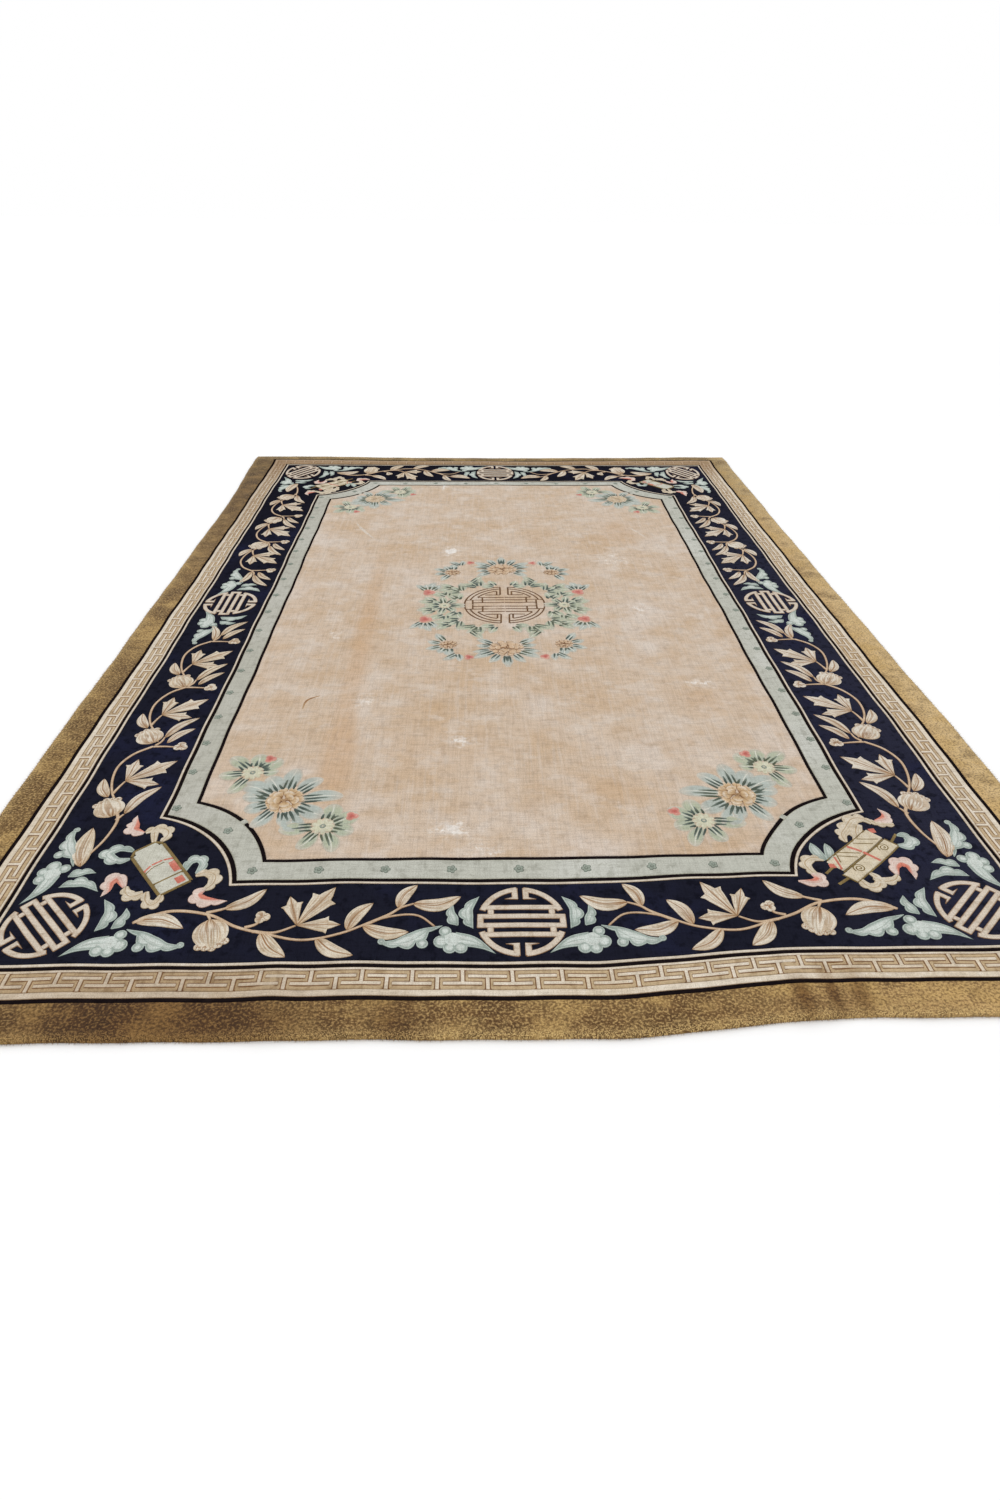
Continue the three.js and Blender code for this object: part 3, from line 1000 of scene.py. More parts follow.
# Celadon cloud leaves: curled sprigs with scalloped edges on both sides of each roundel.
# Rows give p, the distance from the roundel's middle along the run, and t, towards the field, root first.
# The half widths are spaced evenly along the line. Lobes counts its scallops, and edged says on which side.
Curl = namedtuple("Curl", "tint lobes edged halves line")
LEFT, RIGHT, NEITHER = (1, 0), (0, 1), (0, 0)
CLOUD_CURLS = [
    Curl("celadon", 0, NEITHER, (1, 8, 16, 21, 24),
         [(64, -108), (96, -84), (128, -69), (166, -64)]),
    Curl("celadon", 4, RIGHT, (3, 9, 22, 24, 15, 7),
         [(198, -22), (233, -38), (268, -66), (306, -80), (346, -80)]),
    Curl("celadon", 3, RIGHT, (2, 16, 20, 15, 2),
         [(121, -29), (138, 3), (138, 38), (107, 80)]),
    Curl("celadon", 2, RIGHT, (4, 16, 17, 11, 2),
         [(160, -20), (174, 0), (180, 22), (175, 50)]),
]
# Round lobes at the head of the first curl, and at the root and the tip of the second
CLOUD_LOBES = [
    Bud(172, -66, 24),
    Bud(190, -40, 17),
    Bud(199, -73, 21),
    Bud(178, -92, 18),
    Bud(151, -90, 19),
    Bud(246, -79, 16),
    Bud(347, -74, 11),
]


def curl(place, row, rise=1.7, sides=(1, 1)):
    """A curling motif with scalloped edges and a carved vein, or only one side of it."""
    count = 8 * max(row.lobes, 3) + 1
    u = np.linspace(0, 1, count)
    halves = curve(np.column_stack([row.halves, row.halves]), count)[:, 0]
    scallop = SCALLOP * (1 - np.abs(np.sin(np.pi * row.lobes * u)) ** 0.85)
    half = halves[:, None] * (1 - scallop[:, None] * row.edged) * sides
    return swathe(place, curve(row.line, count), np.maximum(half, 0.7), rise, vein=0.5)


# How far a cloud is moved along its side and towards the field: at a side's middle, or at a corner
LONG_SIDE_SHIFT = (12, 22)
SHORT_SIDE_SHIFT = (2, 4)
CORNER_END_SHIFT = (0, 0)


def cloud_parts():
    parts = []
    for place, is_long in runs():
        length = LONG_MIDDLE if is_long else SHORT_MIDDLE
        corner = np.array(place.origin) + length * np.array(place.along)
        corner_end = Place(corner, -np.array(place.along), place.inward)
        side_shift = LONG_SIDE_SHIFT if is_long else SHORT_SIDE_SHIFT
        for end, shift in ((place, side_shift), (corner_end, CORNER_END_SHIFT)):
            moved_on = np.array(end.along) * shift[0] + np.array(end.inward) * shift[1]
            end = end._replace(origin=np.array(end.origin) + moved_on)
            parts += [curl(end, row) for row in CLOUD_CURLS]
            for k, row in enumerate(CLOUD_LOBES):
                lobe = disc(end, row.s, row.t, row.radius, rise=2.3 - 0.08 * k)
                # The head lies within the other lobes, so no edge shows on it
                inside_cloud = 0 if k else row.radius
                parts.append(lobe._replace(tip=np.ones(len(lobe.tip)), edge=lobe.edge + inside_cloud))
    return parts


# Celadon silk, almost white in the middle of each sprig and grey green at its cut edge.
CLOUD_LAYERS = [
    Layer("tip", 0.5, 0.0, 0.6, "#84968C"),
    Layer("fan", 0.45, 0.62, 0.35, "#A6B4AB"),
    Layer("edge", 13.0, 4.0, 0.85, "#84958B"),
    Layer("edge", 5.0, 3.6, 0.7, "#C6D0C9"),
    Layer("vein", 2.2, 0.5, 0.5, "#8C9C92"),
    Layer("edge", 2.2, 0.8, 0.95, "#4E5D55"),
]
cloud_silk = silk("celadon cloud silk", "#D2D9D3", CLOUD_LAYERS)
rug_piece("celadon_cloud_leaves", cloud_parts(), cloud_silk)


# Ribboned emblems: a wrapped book case and a pair of scrolls, old signs of learning, one in each corner.
# Rows of ribbons are distances from the rug's centre lines, across and along. An eye is navy seen in a loop.
CASE_RIBBONS = [
    Curl("pink", 4, RIGHT, (1, 11, 21, 23, 19, 9),
         [(1112, 1402), (1110, 1440), (1106, 1470), (1068, 1484)]),
    Curl("cream", 4, LEFT, (9, 18, 21, 19, 9),
         [(1064, 1478), (1042, 1463), (1012, 1463), (996, 1484), (1004, 1518)]),
    Curl("cream", 0, NEITHER, (12, 13, 11, 8),
         [(1040, 1460), (1035, 1488), (1026, 1520)]),
    Curl("celadon", 5, RIGHT, (8, 15, 20, 21, 16, 7),
         [(1070, 1553), (1112, 1541), (1142, 1566), (1108, 1594), (1068, 1588)]),
    Curl("pink", 4, LEFT, (1, 9, 19, 21, 18, 8),
         [(1097, 1726), (1089, 1704), (1095, 1674), (1074, 1652), (1043, 1690)]),
    Curl("cream", 3, RIGHT, (8, 19, 21, 11),
         [(1042, 1690), (1034, 1714), (1012, 1727), (988, 1714)]),
    Curl("cream", 4, RIGHT, (9, 16, 19, 16, 8),
         [(982, 1710), (975, 1740), (958, 1757), (942, 1746), (938, 1718)]),
    Curl("celadon", 4, LEFT, (8, 16, 17, 16, 9),
         [(907, 1632), (904, 1596), (882, 1583), (862, 1600), (868, 1642)]),
    Curl("cream", 4, LEFT, (8, 18, 21, 18, 9),
         [(872, 1648), (844, 1636), (818, 1650), (816, 1680), (834, 1704)]),
    Curl("pink", 4, RIGHT, (9, 19, 23, 16, 2),
         [(834, 1694), (850, 1718), (836, 1740), (800, 1746), (762, 1742)]),
]
CASE_EYES = [Bud(1012, 1498, 8), Bud(959, 1732, 8), Bud(889, 1612, 6)]
SCROLL_RIBBONS = [
    Curl("pink", 2, RIGHT, (1, 10, 19, 19, 10),
         [(1090, 1400), (1103, 1428), (1096, 1452), (1060, 1464)]),
    Curl("cream", 3, LEFT, (9, 13, 14, 10),
         [(1045, 1456), (1062, 1472), (1085, 1475), (1108, 1476)]),
    Curl("cream", 6, LEFT, (9, 16, 24, 27, 25, 17, 7),
         [(1047, 1468), (1026, 1446), (992, 1448), (958, 1488), (940, 1516), (942, 1550)]),
    Curl("cream", 0, NEITHER, (16, 22, 18, 8),
         [(1001, 1470), (985, 1500), (980, 1530), (970, 1550)]),
    Curl("celadon", 3, RIGHT, (6, 16, 21, 19, 8),
         [(1094, 1522), (1118, 1524), (1127, 1548), (1110, 1569), (1078, 1568)]),
    Curl("pink", 5, LEFT, (1, 12, 20, 22, 18, 8),
         [(1075, 1704), (1081, 1674), (1082, 1646), (1059, 1629), (1036, 1648), (1030, 1684)]),
    Curl("cream", 3, RIGHT, (8, 15, 17, 10),
         [(1034, 1686), (1018, 1705), (990, 1711), (964, 1700)]),
    Curl("cream", 4, RIGHT, (8, 14, 18, 18, 10),
         [(964, 1676), (980, 1704), (968, 1732), (942, 1734), (928, 1704)]),
    Curl("celadon", 0, NEITHER, (8, 14, 16, 13, 2),
         [(868, 1626), (853, 1592), (845, 1552)]),
    Curl("celadon", 0, NEITHER, (7, 12, 14, 11, 2),
         [(876, 1626), (887, 1590), (884, 1555)]),
    Curl("cream", 4, LEFT, (9, 18, 21, 16, 11),
         [(864, 1622), (834, 1614), (809, 1632), (810, 1658), (822, 1682)]),
    Curl("pink", 3, RIGHT, (11, 21, 20, 5),
         [(818, 1674), (834, 1700), (812, 1716), (766, 1708)]),
]
SCROLL_EYES = [Bud(1023, 1476, 8), Bud(960, 1528, 8), Bud(951, 1702, 7)]
# Strokes of an emblem: from and to, with a along its axis and b across it towards the rug's middle
Emblem = namedtuple("Emblem", "middle axis inward strokes spirals ribbons eyes")
Stroke = namedtuple("Stroke", "tint a b to_a to_b half rise")
CASE_STROKES = [
    Stroke("case", -94, -5, 94, -5, 44, 1.8),
    Stroke("case", -110, -5, -86, -5, 35, 1.8),
    Stroke("olive", -92, 39, 94, 39, 5, 2.4),
    Stroke("olive", -92, -49, 94, -49, 5, 2.4),
    Stroke("olive", -94, -49, -111, -34, 4.5, 2.3),
    Stroke("olive", -111, -36, -111, 26, 4.5, 2.3),
    Stroke("olive", -111, 24, -94, 39, 4.5, 2.3),
    Stroke("olive", 95, -47, 95, 37, 4.5, 2.3),
    Stroke("olive", 48, -46, 48, 36, 4.5, 2.3),
    Stroke("rose", -14, -46, -27, -20, 5.5, 2.3),
    Stroke("rose", -27, -22, -27, 12, 5.5, 2.3),
    Stroke("rose", -27, 10, -17, 36, 5.5, 2.3),
    Stroke("olive", -4, -46, -16, -20, 3, 2.3),
    Stroke("olive", -16, -22, -16, 12, 3, 2.3),
    Stroke("rose", -10, 25, 40, 25, 11, 2.1),
    Stroke("rose", 57, 17, 89, 17, 14, 2.1),
]
SCROLL_STROKES = [
    Stroke("scroll", -106, 36, 100, 36, 27, 1.8),
    Stroke("scroll", -102, -15, 114, -15, 22, 1.8),
    Stroke("olive", -98, 63, 92, 63, 2.5, 2.2),
    Stroke("olive", -100, 8, 104, 8, 2.5, 2.2),
    Stroke("olive", -100, -37, 112, -37, 2.5, 2.2),
    Stroke("olive", -103, -36, -103, 6, 2.5, 2.2),
    Stroke("olive", 115, -36, 115, 6, 2.5, 2.2),
    Stroke("olive", -45, 60, -90, 16, 3, 2.3),
    Stroke("olive", -21, 57, -62, 16, 3, 2.3),
    Stroke("olive", 42, 60, -1, 18, 3, 2.3),
    Stroke("olive", 57, 54, 20, 14, 3, 2.3),
    Stroke("olive", 52, 60, 76, 32, 3, 2.3),
    Stroke("rose", 3, 60, -9, 18, 6.5, 2.4),
    Stroke("rose", -9, 20, -9, -34, 6.5, 2.4),
    Stroke("rose", 66, 58, 98, 16, 4.5, 2.4),
    Stroke("rose", -122, 40, -106, 52, 10, 2.0),
    Stroke("rose", 94, 36, 108, 48, 10, 2.0),
    Stroke("olive", -104, -15, -148, -8, 4.5, 1.6),
    Stroke("olive", 114, -12, 156, -6, 5, 1.6),
    Stroke("olive", 104, 38, 142, 38, 4.5, 1.6),
]
SCROLL_SPIRALS = [(-66, -10), (60, -11)]
SPIRAL_RADIUS = 17.0
BOOK_CASE = Emblem(
    middle=(968, 1620),
    axis=(-0.65, 0.76),
    inward=(-0.76, -0.65),
    strokes=CASE_STROKES,
    spirals=[],
    ribbons=CASE_RIBBONS,
    eyes=CASE_EYES,
)
SCROLLS = Emblem(
    middle=(981, 1611),
    axis=(-0.735, 0.678),
    inward=(-0.678, -0.735),
    strokes=SCROLL_STROKES,
    spirals=SCROLL_SPIRALS,
    ribbons=SCROLL_RIBBONS,
    eyes=SCROLL_EYES,
)


def quarter_places(middle=(0, 0)):
    return [Place(middle, (sx, 0), (0, sy)) for sx, sy in QUARTERS]


def emblems():
    """Each corner's place and emblem: book cases in two opposite corners, scrolls in the other two."""
    kinds = [BOOK_CASE if sx == sy else SCROLLS for sx, sy in QUARTERS]
    return list(zip(quarter_places(), kinds))


def ribbon_parts(tint):
    return [curl(place, row) for place, emblem in emblems() for row in emblem.ribbons if row.tint == tint]


def lining_parts():
    """The inner side of each pink ribbon."""
    parts = []
    for place, emblem in emblems():
        pink = [row for row in emblem.ribbons if row.tint == "pink"]
        parts += [curl(place, row, 2.0, 1 - np.array(row.edged)) for row in pink]
    return parts


def eye_parts():
    return [disc(place, *eye, 2.6) for place, emblem in emblems() for eye in emblem.eyes]


def emblem_parts(tint):
    """The strokes of one tint of every corner's emblem, and the spirals with the olive ones."""
    parts = []
    turn = np.linspace(0, 4 * np.pi, 40)
    winding = np.linspace(SPIRAL_RADIUS, 2, len(turn))[:, None] * np.stack([np.cos(turn), np.sin(turn)], 1)
    for place, emblem in emblems():
        turned = np.array([emblem.axis, emblem.inward])
        for row in emblem.strokes:
            if row.tint == tint:
                ends = emblem.middle + np.array([(row.a, row.b), (row.to_a, row.to_b)]) @ turned
                parts.append(bar(place, ends, row.half, row.rise, rounding=4, steps=5))
        if tint == "olive":
            for spot in emblem.spirals:
                line = emblem.middle + (spot + winding) @ turned
                parts.append(swathe(place, line, 3.2, 2.3, 3, across=BAR_ACROSS))
    return parts


# Faded pink silk lined with coral, ivory ribbon silk, grey ivory for the cases, olive and rose for lines.
pink_silk = silk(
    "faded pink ribbon silk",
    "#DFCDC2",
    [
        Layer("fan", 0.42, 0.58, 0.5, "#D8B4A6"),
        Layer("mottle", 0.5, 0.68, 0.5, "#E8DAD0"),
        Layer("edge", 3.2, 0.9, 0.9, "#86604E"),
    ],
)
lining_silk = silk(
    "coral ribbon silk",
    "#D27D69",
    [
        Layer("fan", 0.45, 0.6, 0.5, "#DFA28F"),
        Layer("vein", 11.0, 4.0, 0.9, "#DFC3B6"),
        Layer("tip", 0.2, 0.0, 0.8, "#DFCDC2"),
    ],
)
ribbon_silk = silk(
    "ivory ribbon silk",
    "#D6CAB5",
    [
        Layer("fan", 0.45, 0.6, 0.6, "#C2AE8C"),
        Layer("mottle", 0.5, 0.68, 0.5, "#E2DACB"),
        Layer("vein", 2.2, 0.5, 0.7, "#A98A5C"),
        Layer("edge", 3.2, 0.9, 0.95, "#6F5936"),
    ],
)
case_silk = silk("grey ivory silk", "#C9C8BA", [Layer("mottle", 0.5, 0.7, 0.6, "#D8D7CC")])
scroll_silk = silk("ivory scroll silk", "#D6C9AF", [Layer("mottle", 0.5, 0.7, 0.6, "#E0D8C6")])
olive_silk = silk("olive line silk", "#7E693C", [Layer("mottle", 0.5, 0.7, 0.6, "#9A8554")])
rose_silk = silk("rose band silk", "#CB7462", [Layer("mottle", 0.5, 0.7, 0.6, "#DC9C8B")])
rug_piece("pink_ribbons", ribbon_parts("pink"), pink_silk)
rug_piece("pink_ribbon_linings", lining_parts(), lining_silk)
rug_piece("cream_ribbons", ribbon_parts("cream"), ribbon_silk)
rug_piece("celadon_ribbons", ribbon_parts("celadon"), cloud_silk)
rug_piece("ribbon_eyes", eye_parts(), navy_silk)
rug_piece("book_cases", emblem_parts("case"), case_silk)
rug_piece("scrolls", emblem_parts("scroll"), scroll_silk)
rug_piece("emblem_outlines", emblem_parts("olive"), olive_silk)
rug_piece("emblem_bands", emblem_parts("rose"), rose_silk)


# Celadon guard: the pale band inside the navy border, with a small rosette every hand's breadth.
# At the middle of each corner's arc a short bar of it breaks through the dark line inside it.
ROSETTE_RADIUS = 16.0
FRONT_ROSETTES = (0, 183, 364, 545, 725)
SIDE_ROSETTES = (80, 250, 420, 575, 730, 885, 1040, 1195, 1370)
CORNER_ROSETTE = (830, 1472)
GUARD_LOOPS = 8
GAP_OVERLAP = 4.0  # how far a short bar runs past the dark line at each end
GAP_RISE = 0.8
WHOLE_RUG = Place((0, 0), (1, 0), (0, 1))


def rosettes():
    parts = []
    middle = BAND_ENDS["celadon"] - BAND_WIDTHS["celadon"] / 2
    x, y = HALF_WIDTH - middle, HALF_LENGTH - middle
    spots = [(s, y) for s in FRONT_ROSETTES] + [(x, s) for s in SIDE_ROSETTES] + [CORNER_ROSETTE]
    for place in quarter_places():
        for s, t in spots:
            if s == 0 and place.along[0] < 0:
                continue
            parts.append(disc(place, s, t, ROSETTE_RADIUS, rise=0.9, lobes=5))
            parts.append(disc(place, s, t, 0.4 * ROSETTE_RADIUS, rise=1.7, rounding=3))
    return parts


def guard_gaps():
    """Short bars across the field line, at the middle of each corner's arc."""
    outer, inner = (ring_at(BAND_ENDS[name], True) for name in ("celadon", "field line"))
    side_points = [int(2 * size / SIDE_STEP) - 1 for size in (HALF_WIDTH, HALF_LENGTH)]
    parts = []
    at = CORNER_STEPS
    for corner in range(4):
        way = (inner[at] - outer[at]) / np.linalg.norm(inner[at] - outer[at])
        line = [outer[at] - GAP_OVERLAP * way, inner[at] + GAP_OVERLAP * way]
        parts.append(bar(WHOLE_RUG, line, GUARD_GAP / 2, GAP_RISE))
        at += 2 * CORNER_STEPS + 1 + side_points[corner % 2]
    return parts


# Pale celadon silk with a grey cast; the rosettes are a darker, greener grey, cut round.
CELADON_LAYERS = [
    Layer("cloud", 0.45, 0.65, 0.8, "#CBCCC4"),
    Layer("mottle", 0.5, 0.3, 0.5, "#ADAFA3"),
    Layer("X", -0.6, -1.1, 0.5, "#AEAA9C"),
    Layer("edge", 4.0, 1.0, 0.5, "#A9A48C"),
]
celadon_silk = silk("pale celadon silk", "#BEBFB4", CELADON_LAYERS)
rosette_silk = silk("grey green rosette silk", "#98A195", [Layer("edge", 5.0, 1.5, 0.9, "#5E675C")])
rug_piece("celadon_guard", [band(BAND_ENDS["navy line"], BAND_ENDS["celadon"], GUARD_LOOPS)], celadon_silk)
rug_piece("guard_gaps", guard_gaps(), celadon_silk)
rug_piece("guard_rosettes", rosettes(), rosette_silk)


# Field: the large plain middle of the rug, in peach beige that has faded, stained and worn unevenly.
# It is the same pile as the bands. Faint carved lines and ridges cross it, drawn in painted shade and
# painted highlight.
FIELD_CELL = 23.0
FIELD_RIM = 15.0  # how far in from the field's edge its grid of points starts
# Field marks, dark for painted shade in a groove and pale for painted highlight on a ridge:
# their half width at the middle, and a line of places on the rug
FieldMark = namedtuple("FieldMark", "tint half line")
FIELD_MARKS = [
    FieldMark("dark", 7, [(-727, -897), (-726, -802), (-704, -770), (-657, -743)]),
    FieldMark("dark", 2.5, [(-675, -835), (-637, -810), (-560, -804), (-526, -785)]),
    FieldMark("dark", 2.5, [(-488, -811), (-416, -818)]),
    FieldMark("dark", 3, [(729, -728), (655, -873)]),
    FieldMark("pale", 3.5, [(-548, -724), (-519, -785)]),
    FieldMark("pale", 4, [(689, -672), (749, -672)]),
    FieldMark("pale", 4, [(637, -775), (691, -748)]),
    FieldMark("pale", 4, [(732, -789), (798, -776)]),
    FieldMark("pale", 3, [(563, -761), (583, -808), (613, -821)]),
    FieldMark("pale", 11, [(-770, 990), (-712, 859), (-624, 708)]),
    FieldMark("pale", 8, [(681, 934), (778, 722)]),
]


def field_marks(tint):
    parts = []
    for row in FIELD_MARKS:
        if row.tint == tint:
            u = np.linspace(0, 1, 14)
            half = np.maximum(row.half * np.sin(np.pi * u) ** 0.7, 0.5)
            parts.append(swathe(WHOLE_RUG, curve(row.line, len(u)), half, rise=0.2, across=BAR_ACROSS))
    return parts


# Peach beige silk: tan and paler clouds, peach stains, and white flecks where the pile is worn to its warp.
FIELD_LAYERS = [
    Layer("cloud", 0.5, 0.7, 0.7, "#DACDC1"),
    Layer("cloud", 0.5, 0.3, 0.6, "#C6A680"),
    Layer("patch", 0.5, 0.66, 0.45, "#DED3C8"),
    Layer("patch", 0.5, 0.34, 0.35, "#C4A47E"),
    Layer("streaks", 0.52, 0.7, 0.2, "#DDD3CA"),
    Layer("streaks", 0.48, 0.3, 0.15, "#BDA188"),
    Layer("stained", 0.1, 1.0, 0.5, "#C9A176"),
    Layer("nap", 0.4, 0.62, "worn", "#E2D9D0"),
    Layer("mottle", 0.54, 0.66, "worn", "#F4F0EA"),
    Layer("worn", 0.72, 1.0, 0.8, "#F1EDE8"),
]
field_silk = silk("peach beige silk pile", "#D1BCA6", FIELD_LAYERS)
field_rings = [ring_at(FIELD_START + inset, True) for inset in (0, 0.6, 2, 5)]
field_heights = [PILE_TOP - BAND_GROOVE, PILE_TOP - 1.2, PILE_TOP - 0.4, PILE_TOP]
field_pile = filled(field_rings, field_heights, ring_at(FIELD_START + FIELD_RIM, True), FIELD_CELL)
rug_piece("field", [field_pile], field_silk)
# Brown painted shade in the grooves of the field marks, and pale painted highlight on their ridges.
mark_shadow_silk = silk("brown painted groove shade", "#9C744C", [Layer("mottle", 0.45, 0.6, 0.8, "#B79872")])
mark_highlight_silk = silk("pale painted ridge highlight", "#D9CDBF", [Layer("mottle", 0.5, 0.6, 0.7, "#CDB79E")])
rug_piece("field_mark_shadows", field_marks("dark"), mark_shadow_silk)
rug_piece("field_mark_highlights", field_marks("pale"), mark_highlight_silk)


# Middle roundel: the fret ornament again, larger, in the field's own colour, so only its carved lines show,
# as painted shade.
# It lies a little off the rug's middle. The lines are mm from its middle, for one quarter of it.
CENTRE = (6, -19)
CARVED_HALF = 4.8
CarvedArc = namedtuple("CarvedArc", "radius start end")
CARVED_ARCS = [CarvedArc(176, 0, 84.3), CarvedArc(157, 16.5, 83.6), CarvedArc(137, 31, 76)]
CarvedLine = namedtuple("CarvedLine", "x y to_x to_y")
CARVED_LINES = [
    CarvedLine(17.5, 175, 17.5, 94),
    CarvedLine(33, 133, 33, 96),
    CarvedLine(17.5, 94, 86, 94),
    CarvedLine(0, 69, 118, 69),
    CarvedLine(0, 44, 170, 44),
    CarvedLine(0, 18, 140, 18),
    CarvedLine(140, 0, 140, 44),
    CarvedLine(97, 18, 97, 69),
]


def carved_roundel():
    parts = []
    for place in quarter_places(CENTRE):
        for row in CARVED_ARCS:
            turn = np.radians(np.linspace(row.start, row.end, 24))
            line = row.radius * np.stack([np.cos(turn), np.sin(turn)], 1)
            parts.append(swathe(place, line, CARVED_HALF, 0.2, 2, across=BAR_ACROSS))
        for row in CARVED_LINES:
            parts.append(bar(place, [(row.x, row.y), (row.to_x, row.to_y)], CARVED_HALF, 0.2, 2))
    return parts


# Brown painted shade in the carved lines, paler in places.
carved_line_shade = silk("painted shade in carved lines", "#654420", [Layer("mottle", 0.5, 0.68, 0.5, "#87663C")])
rug_piece("middle_roundel_groove_shade", carved_roundel(), carved_line_shade)


# Flower sprays: a wreath round the middle roundel and a spray in each corner of the field, mirrored.
# A fan is leaves round a point: which way it faces, how wide it spreads, and where its leaves start and end.
WREATH_CENTRE = (5, -27)
CORNER_SHIFTS = {(1, -1): (-12, 9)}  # where a corner's spray does not lie as its mirror image does
Fan = namedtuple("Fan", "x y facing spread count start reach width")
WREATH_BLUE = [
    Fan(0, 380, 62, 52, 3, 58, 150, 46),
    Fan(0, 380, -8, 40, 3, 66, 138, 42),
    Fan(232, 348, 20, 150, 5, 34, 104, 44),
    Fan(196, 420, 70, 50, 2, 4, 78, 40),
    Fan(336, 134, 90, 84, 4, 28, 112, 40),
]
WREATH_GREEN = [
    Fan(262, 0, 84, 170, 5, 22, 96, 46),
    Fan(300, 34, 26, 44, 2, 10, 90, 48),
    Fan(112, 186, 52, 70, 3, 8, 100, 50),
    Fan(188, 140, 40, 96, 3, 6, 92, 50),
    Fan(36, 192, 40, 60, 2, 6, 76, 44),
    Fan(206, 62, 74, 60, 2, 0, 84, 48),
    Fan(148, 232, 158, 56, 2, 4, 88, 44),
    Fan(226, 176, 12, 56, 2, 4, 92, 46),
    Fan(252, 92, 66, 64, 2, 6, 84, 46),
]
CORNER_BLUE = [Fan(697, 1340, 45, 104, 4, 50, 134, 58), Fan(697, 1340, 225, 214, 7, 50, 170, 66)]
CORNER_GREEN = [
    Fan(820, 1203, -40, 200, 5, 28, 116, 58),
    Fan(820, 1203, 205, 44, 2, 32, 88, 42),
    Fan(563, 1460, 135, 250, 6, 28, 120, 60),
]
Heart = namedtuple("Heart", "x y radius")
WREATH_PEONIES = [Heart(0, 380, 62), Heart(232, 348, 34)]
CORNER_PEONIES = [Heart(697, 1340, 60)]
WREATH_FLOWERS = [Heart(262, 0, 28)]
CORNER_FLOWERS = [Heart(820, 1203, 38), Heart(563, 1460, 38)]
WREATH_BUDS = [Heart(150, 453, 23), Heart(336, 132, 33)]
CORNER_BUDS = [Heart(779, 1132, 23), Heart(485, 1416, 23)]
# A peony's rings of petals: their number, where they start and end, their width and how high they stand
Ring = namedtuple("Ring", "count start end width rise")
PEONY_RINGS = [Ring(10, 0.45, 1.06, 0.5, 0.9), Ring(6, 0.2, 0.8, 0.66, 1.6), Ring(3, 0.04, 0.5, 0.62, 2.4)]
# Slits lie side by side at a leaf's root: length, width and place beside its middle, as shares of the leaf's
Slit = namedtuple("Slit", "length width beside")
NARROW_LEAF_SLITS = [Slit(0.68, 0.3, 0.18), Slit(0.55, 0.26, -0.18)]
BROAD_LEAF_SLITS = [Slit(0.68, 0.2, 0.02), Slit(0.56, 0.18, 0.24), Slit(0.5, 0.18, -0.22)]
BROAD_LEAF = 52  # from this width on a leaf is broad, with a rounder tip


def hand(k, row):
    """The small differences of hand knotting: from -1 to 1, and never the same twice running."""
    return np.sin(7.3 * k + 0.37 * row.x + 0.11 * row.y)


def fan_leaves(row):
    for k in range(row.count):
        turn = np.radians(row.facing + row.spread * (k / (row.count - 1) - 0.5) + 5 * hand(k, row))
        way = np.array([np.cos(turn), np.sin(turn)])
        reach = row.reach * (1 - 0.14 * (k % 2)) * (1 + 0.07 * hand(k + 3, row))
        root, tip = np.array([row.x, row.y]) + way * row.start, np.array([row.x, row.y]) + way * reach
        yield Leaf(*root, *tip, row.width * (1 + 0.12 * hand(k + 5, row)), 0.1 * hand(k + 8, row))


def fan(place, row):
    slender = 0.65 if row.width >= BROAD_LEAF else 0.9
    return [leaf(place, leaf_row, 1.1, slender) for leaf_row in fan_leaves(row)]


def slits(place, row):
    """The dark hollows at the root of each leaf of a fan, with pale veins left between them."""
    parts = []
    u = np.linspace(0, 1, 7)
    shape = u**0.4 * (1 - u) ** 0.8
    for k, leaf_row in enumerate(fan_leaves(row)):
        root = np.array([leaf_row.s, leaf_row.t])
        along = np.array([leaf_row.tip_s, leaf_row.tip_t]) - root
        across = np.array([-along[1], along[0]]) / np.linalg.norm(along) * leaf_row.width
        for slit in BROAD_LEAF_SLITS if row.width >= BROAD_LEAF else NARROW_LEAF_SLITS:
            length = slit.length * (1 + 0.2 * hand(k + 2, row))
            beside = slit.beside * (1 if hand(k, row) > 0 else -1)
            line = root + length * u[:, None] * along + beside * across
            half = slit.width / 2 * leaf_row.width * shape / shape.max()
            parts.append(swathe(place, line, np.maximum(half, 0.7), 1.5, rounding=3, across=THIN_ACROSS))
    return parts


def peony(place, row):
    """Rings of cupped, uneven petals round a small eye."""
    parts = []
    u = np.linspace(0, 1, 11)
    for ring in PEONY_RINGS:
        for k in range(ring.count):
            turn = 2 * np.pi * (k + 0.2 * hand(k, row)) / ring.count
            way = np.array([np.cos(turn), np.sin(turn)]) * row.radius
            length = ring.start + u * (ring.end * (1 + 0.08 * hand(k + 4, row)) - ring.start)
            half = row.radius * ring.width / 2 * np.sin(np.pi * np.clip(u, 0.03, 0.97) ** 1.6) ** 0.6
            line = np.array([row.x, row.y]) + length[:, None] * way
            parts.append(swathe(place, line, np.maximum(half, 0.7), ring.rise, vein=0.6))
    for turn in np.radians((90, 210, 330)):
        spot = 0.1 * row.radius * np.array([np.cos(turn), np.sin(turn)])
        parts.append(disc(place, row.x + spot[0], row.y + spot[1], 0.11 * row.radius, rise=2.6))
    return parts


def pale_flower(place, row):
    dot = disc(place, row.x, row.y, 0.12 * row.radius, rise=2.6, rounding=3)
    return [disc(place, row.x, row.y, row.radius, rise=1.3, lobes=9), dot]


def flower_eye(place, row):
    return [disc(place, row.x, row.y, 0.28 * row.radius, rise=2.0, rounding=4)]


def red_bud(place, row):
    return bud(place, Bud(row.x, row.y, row.radius))


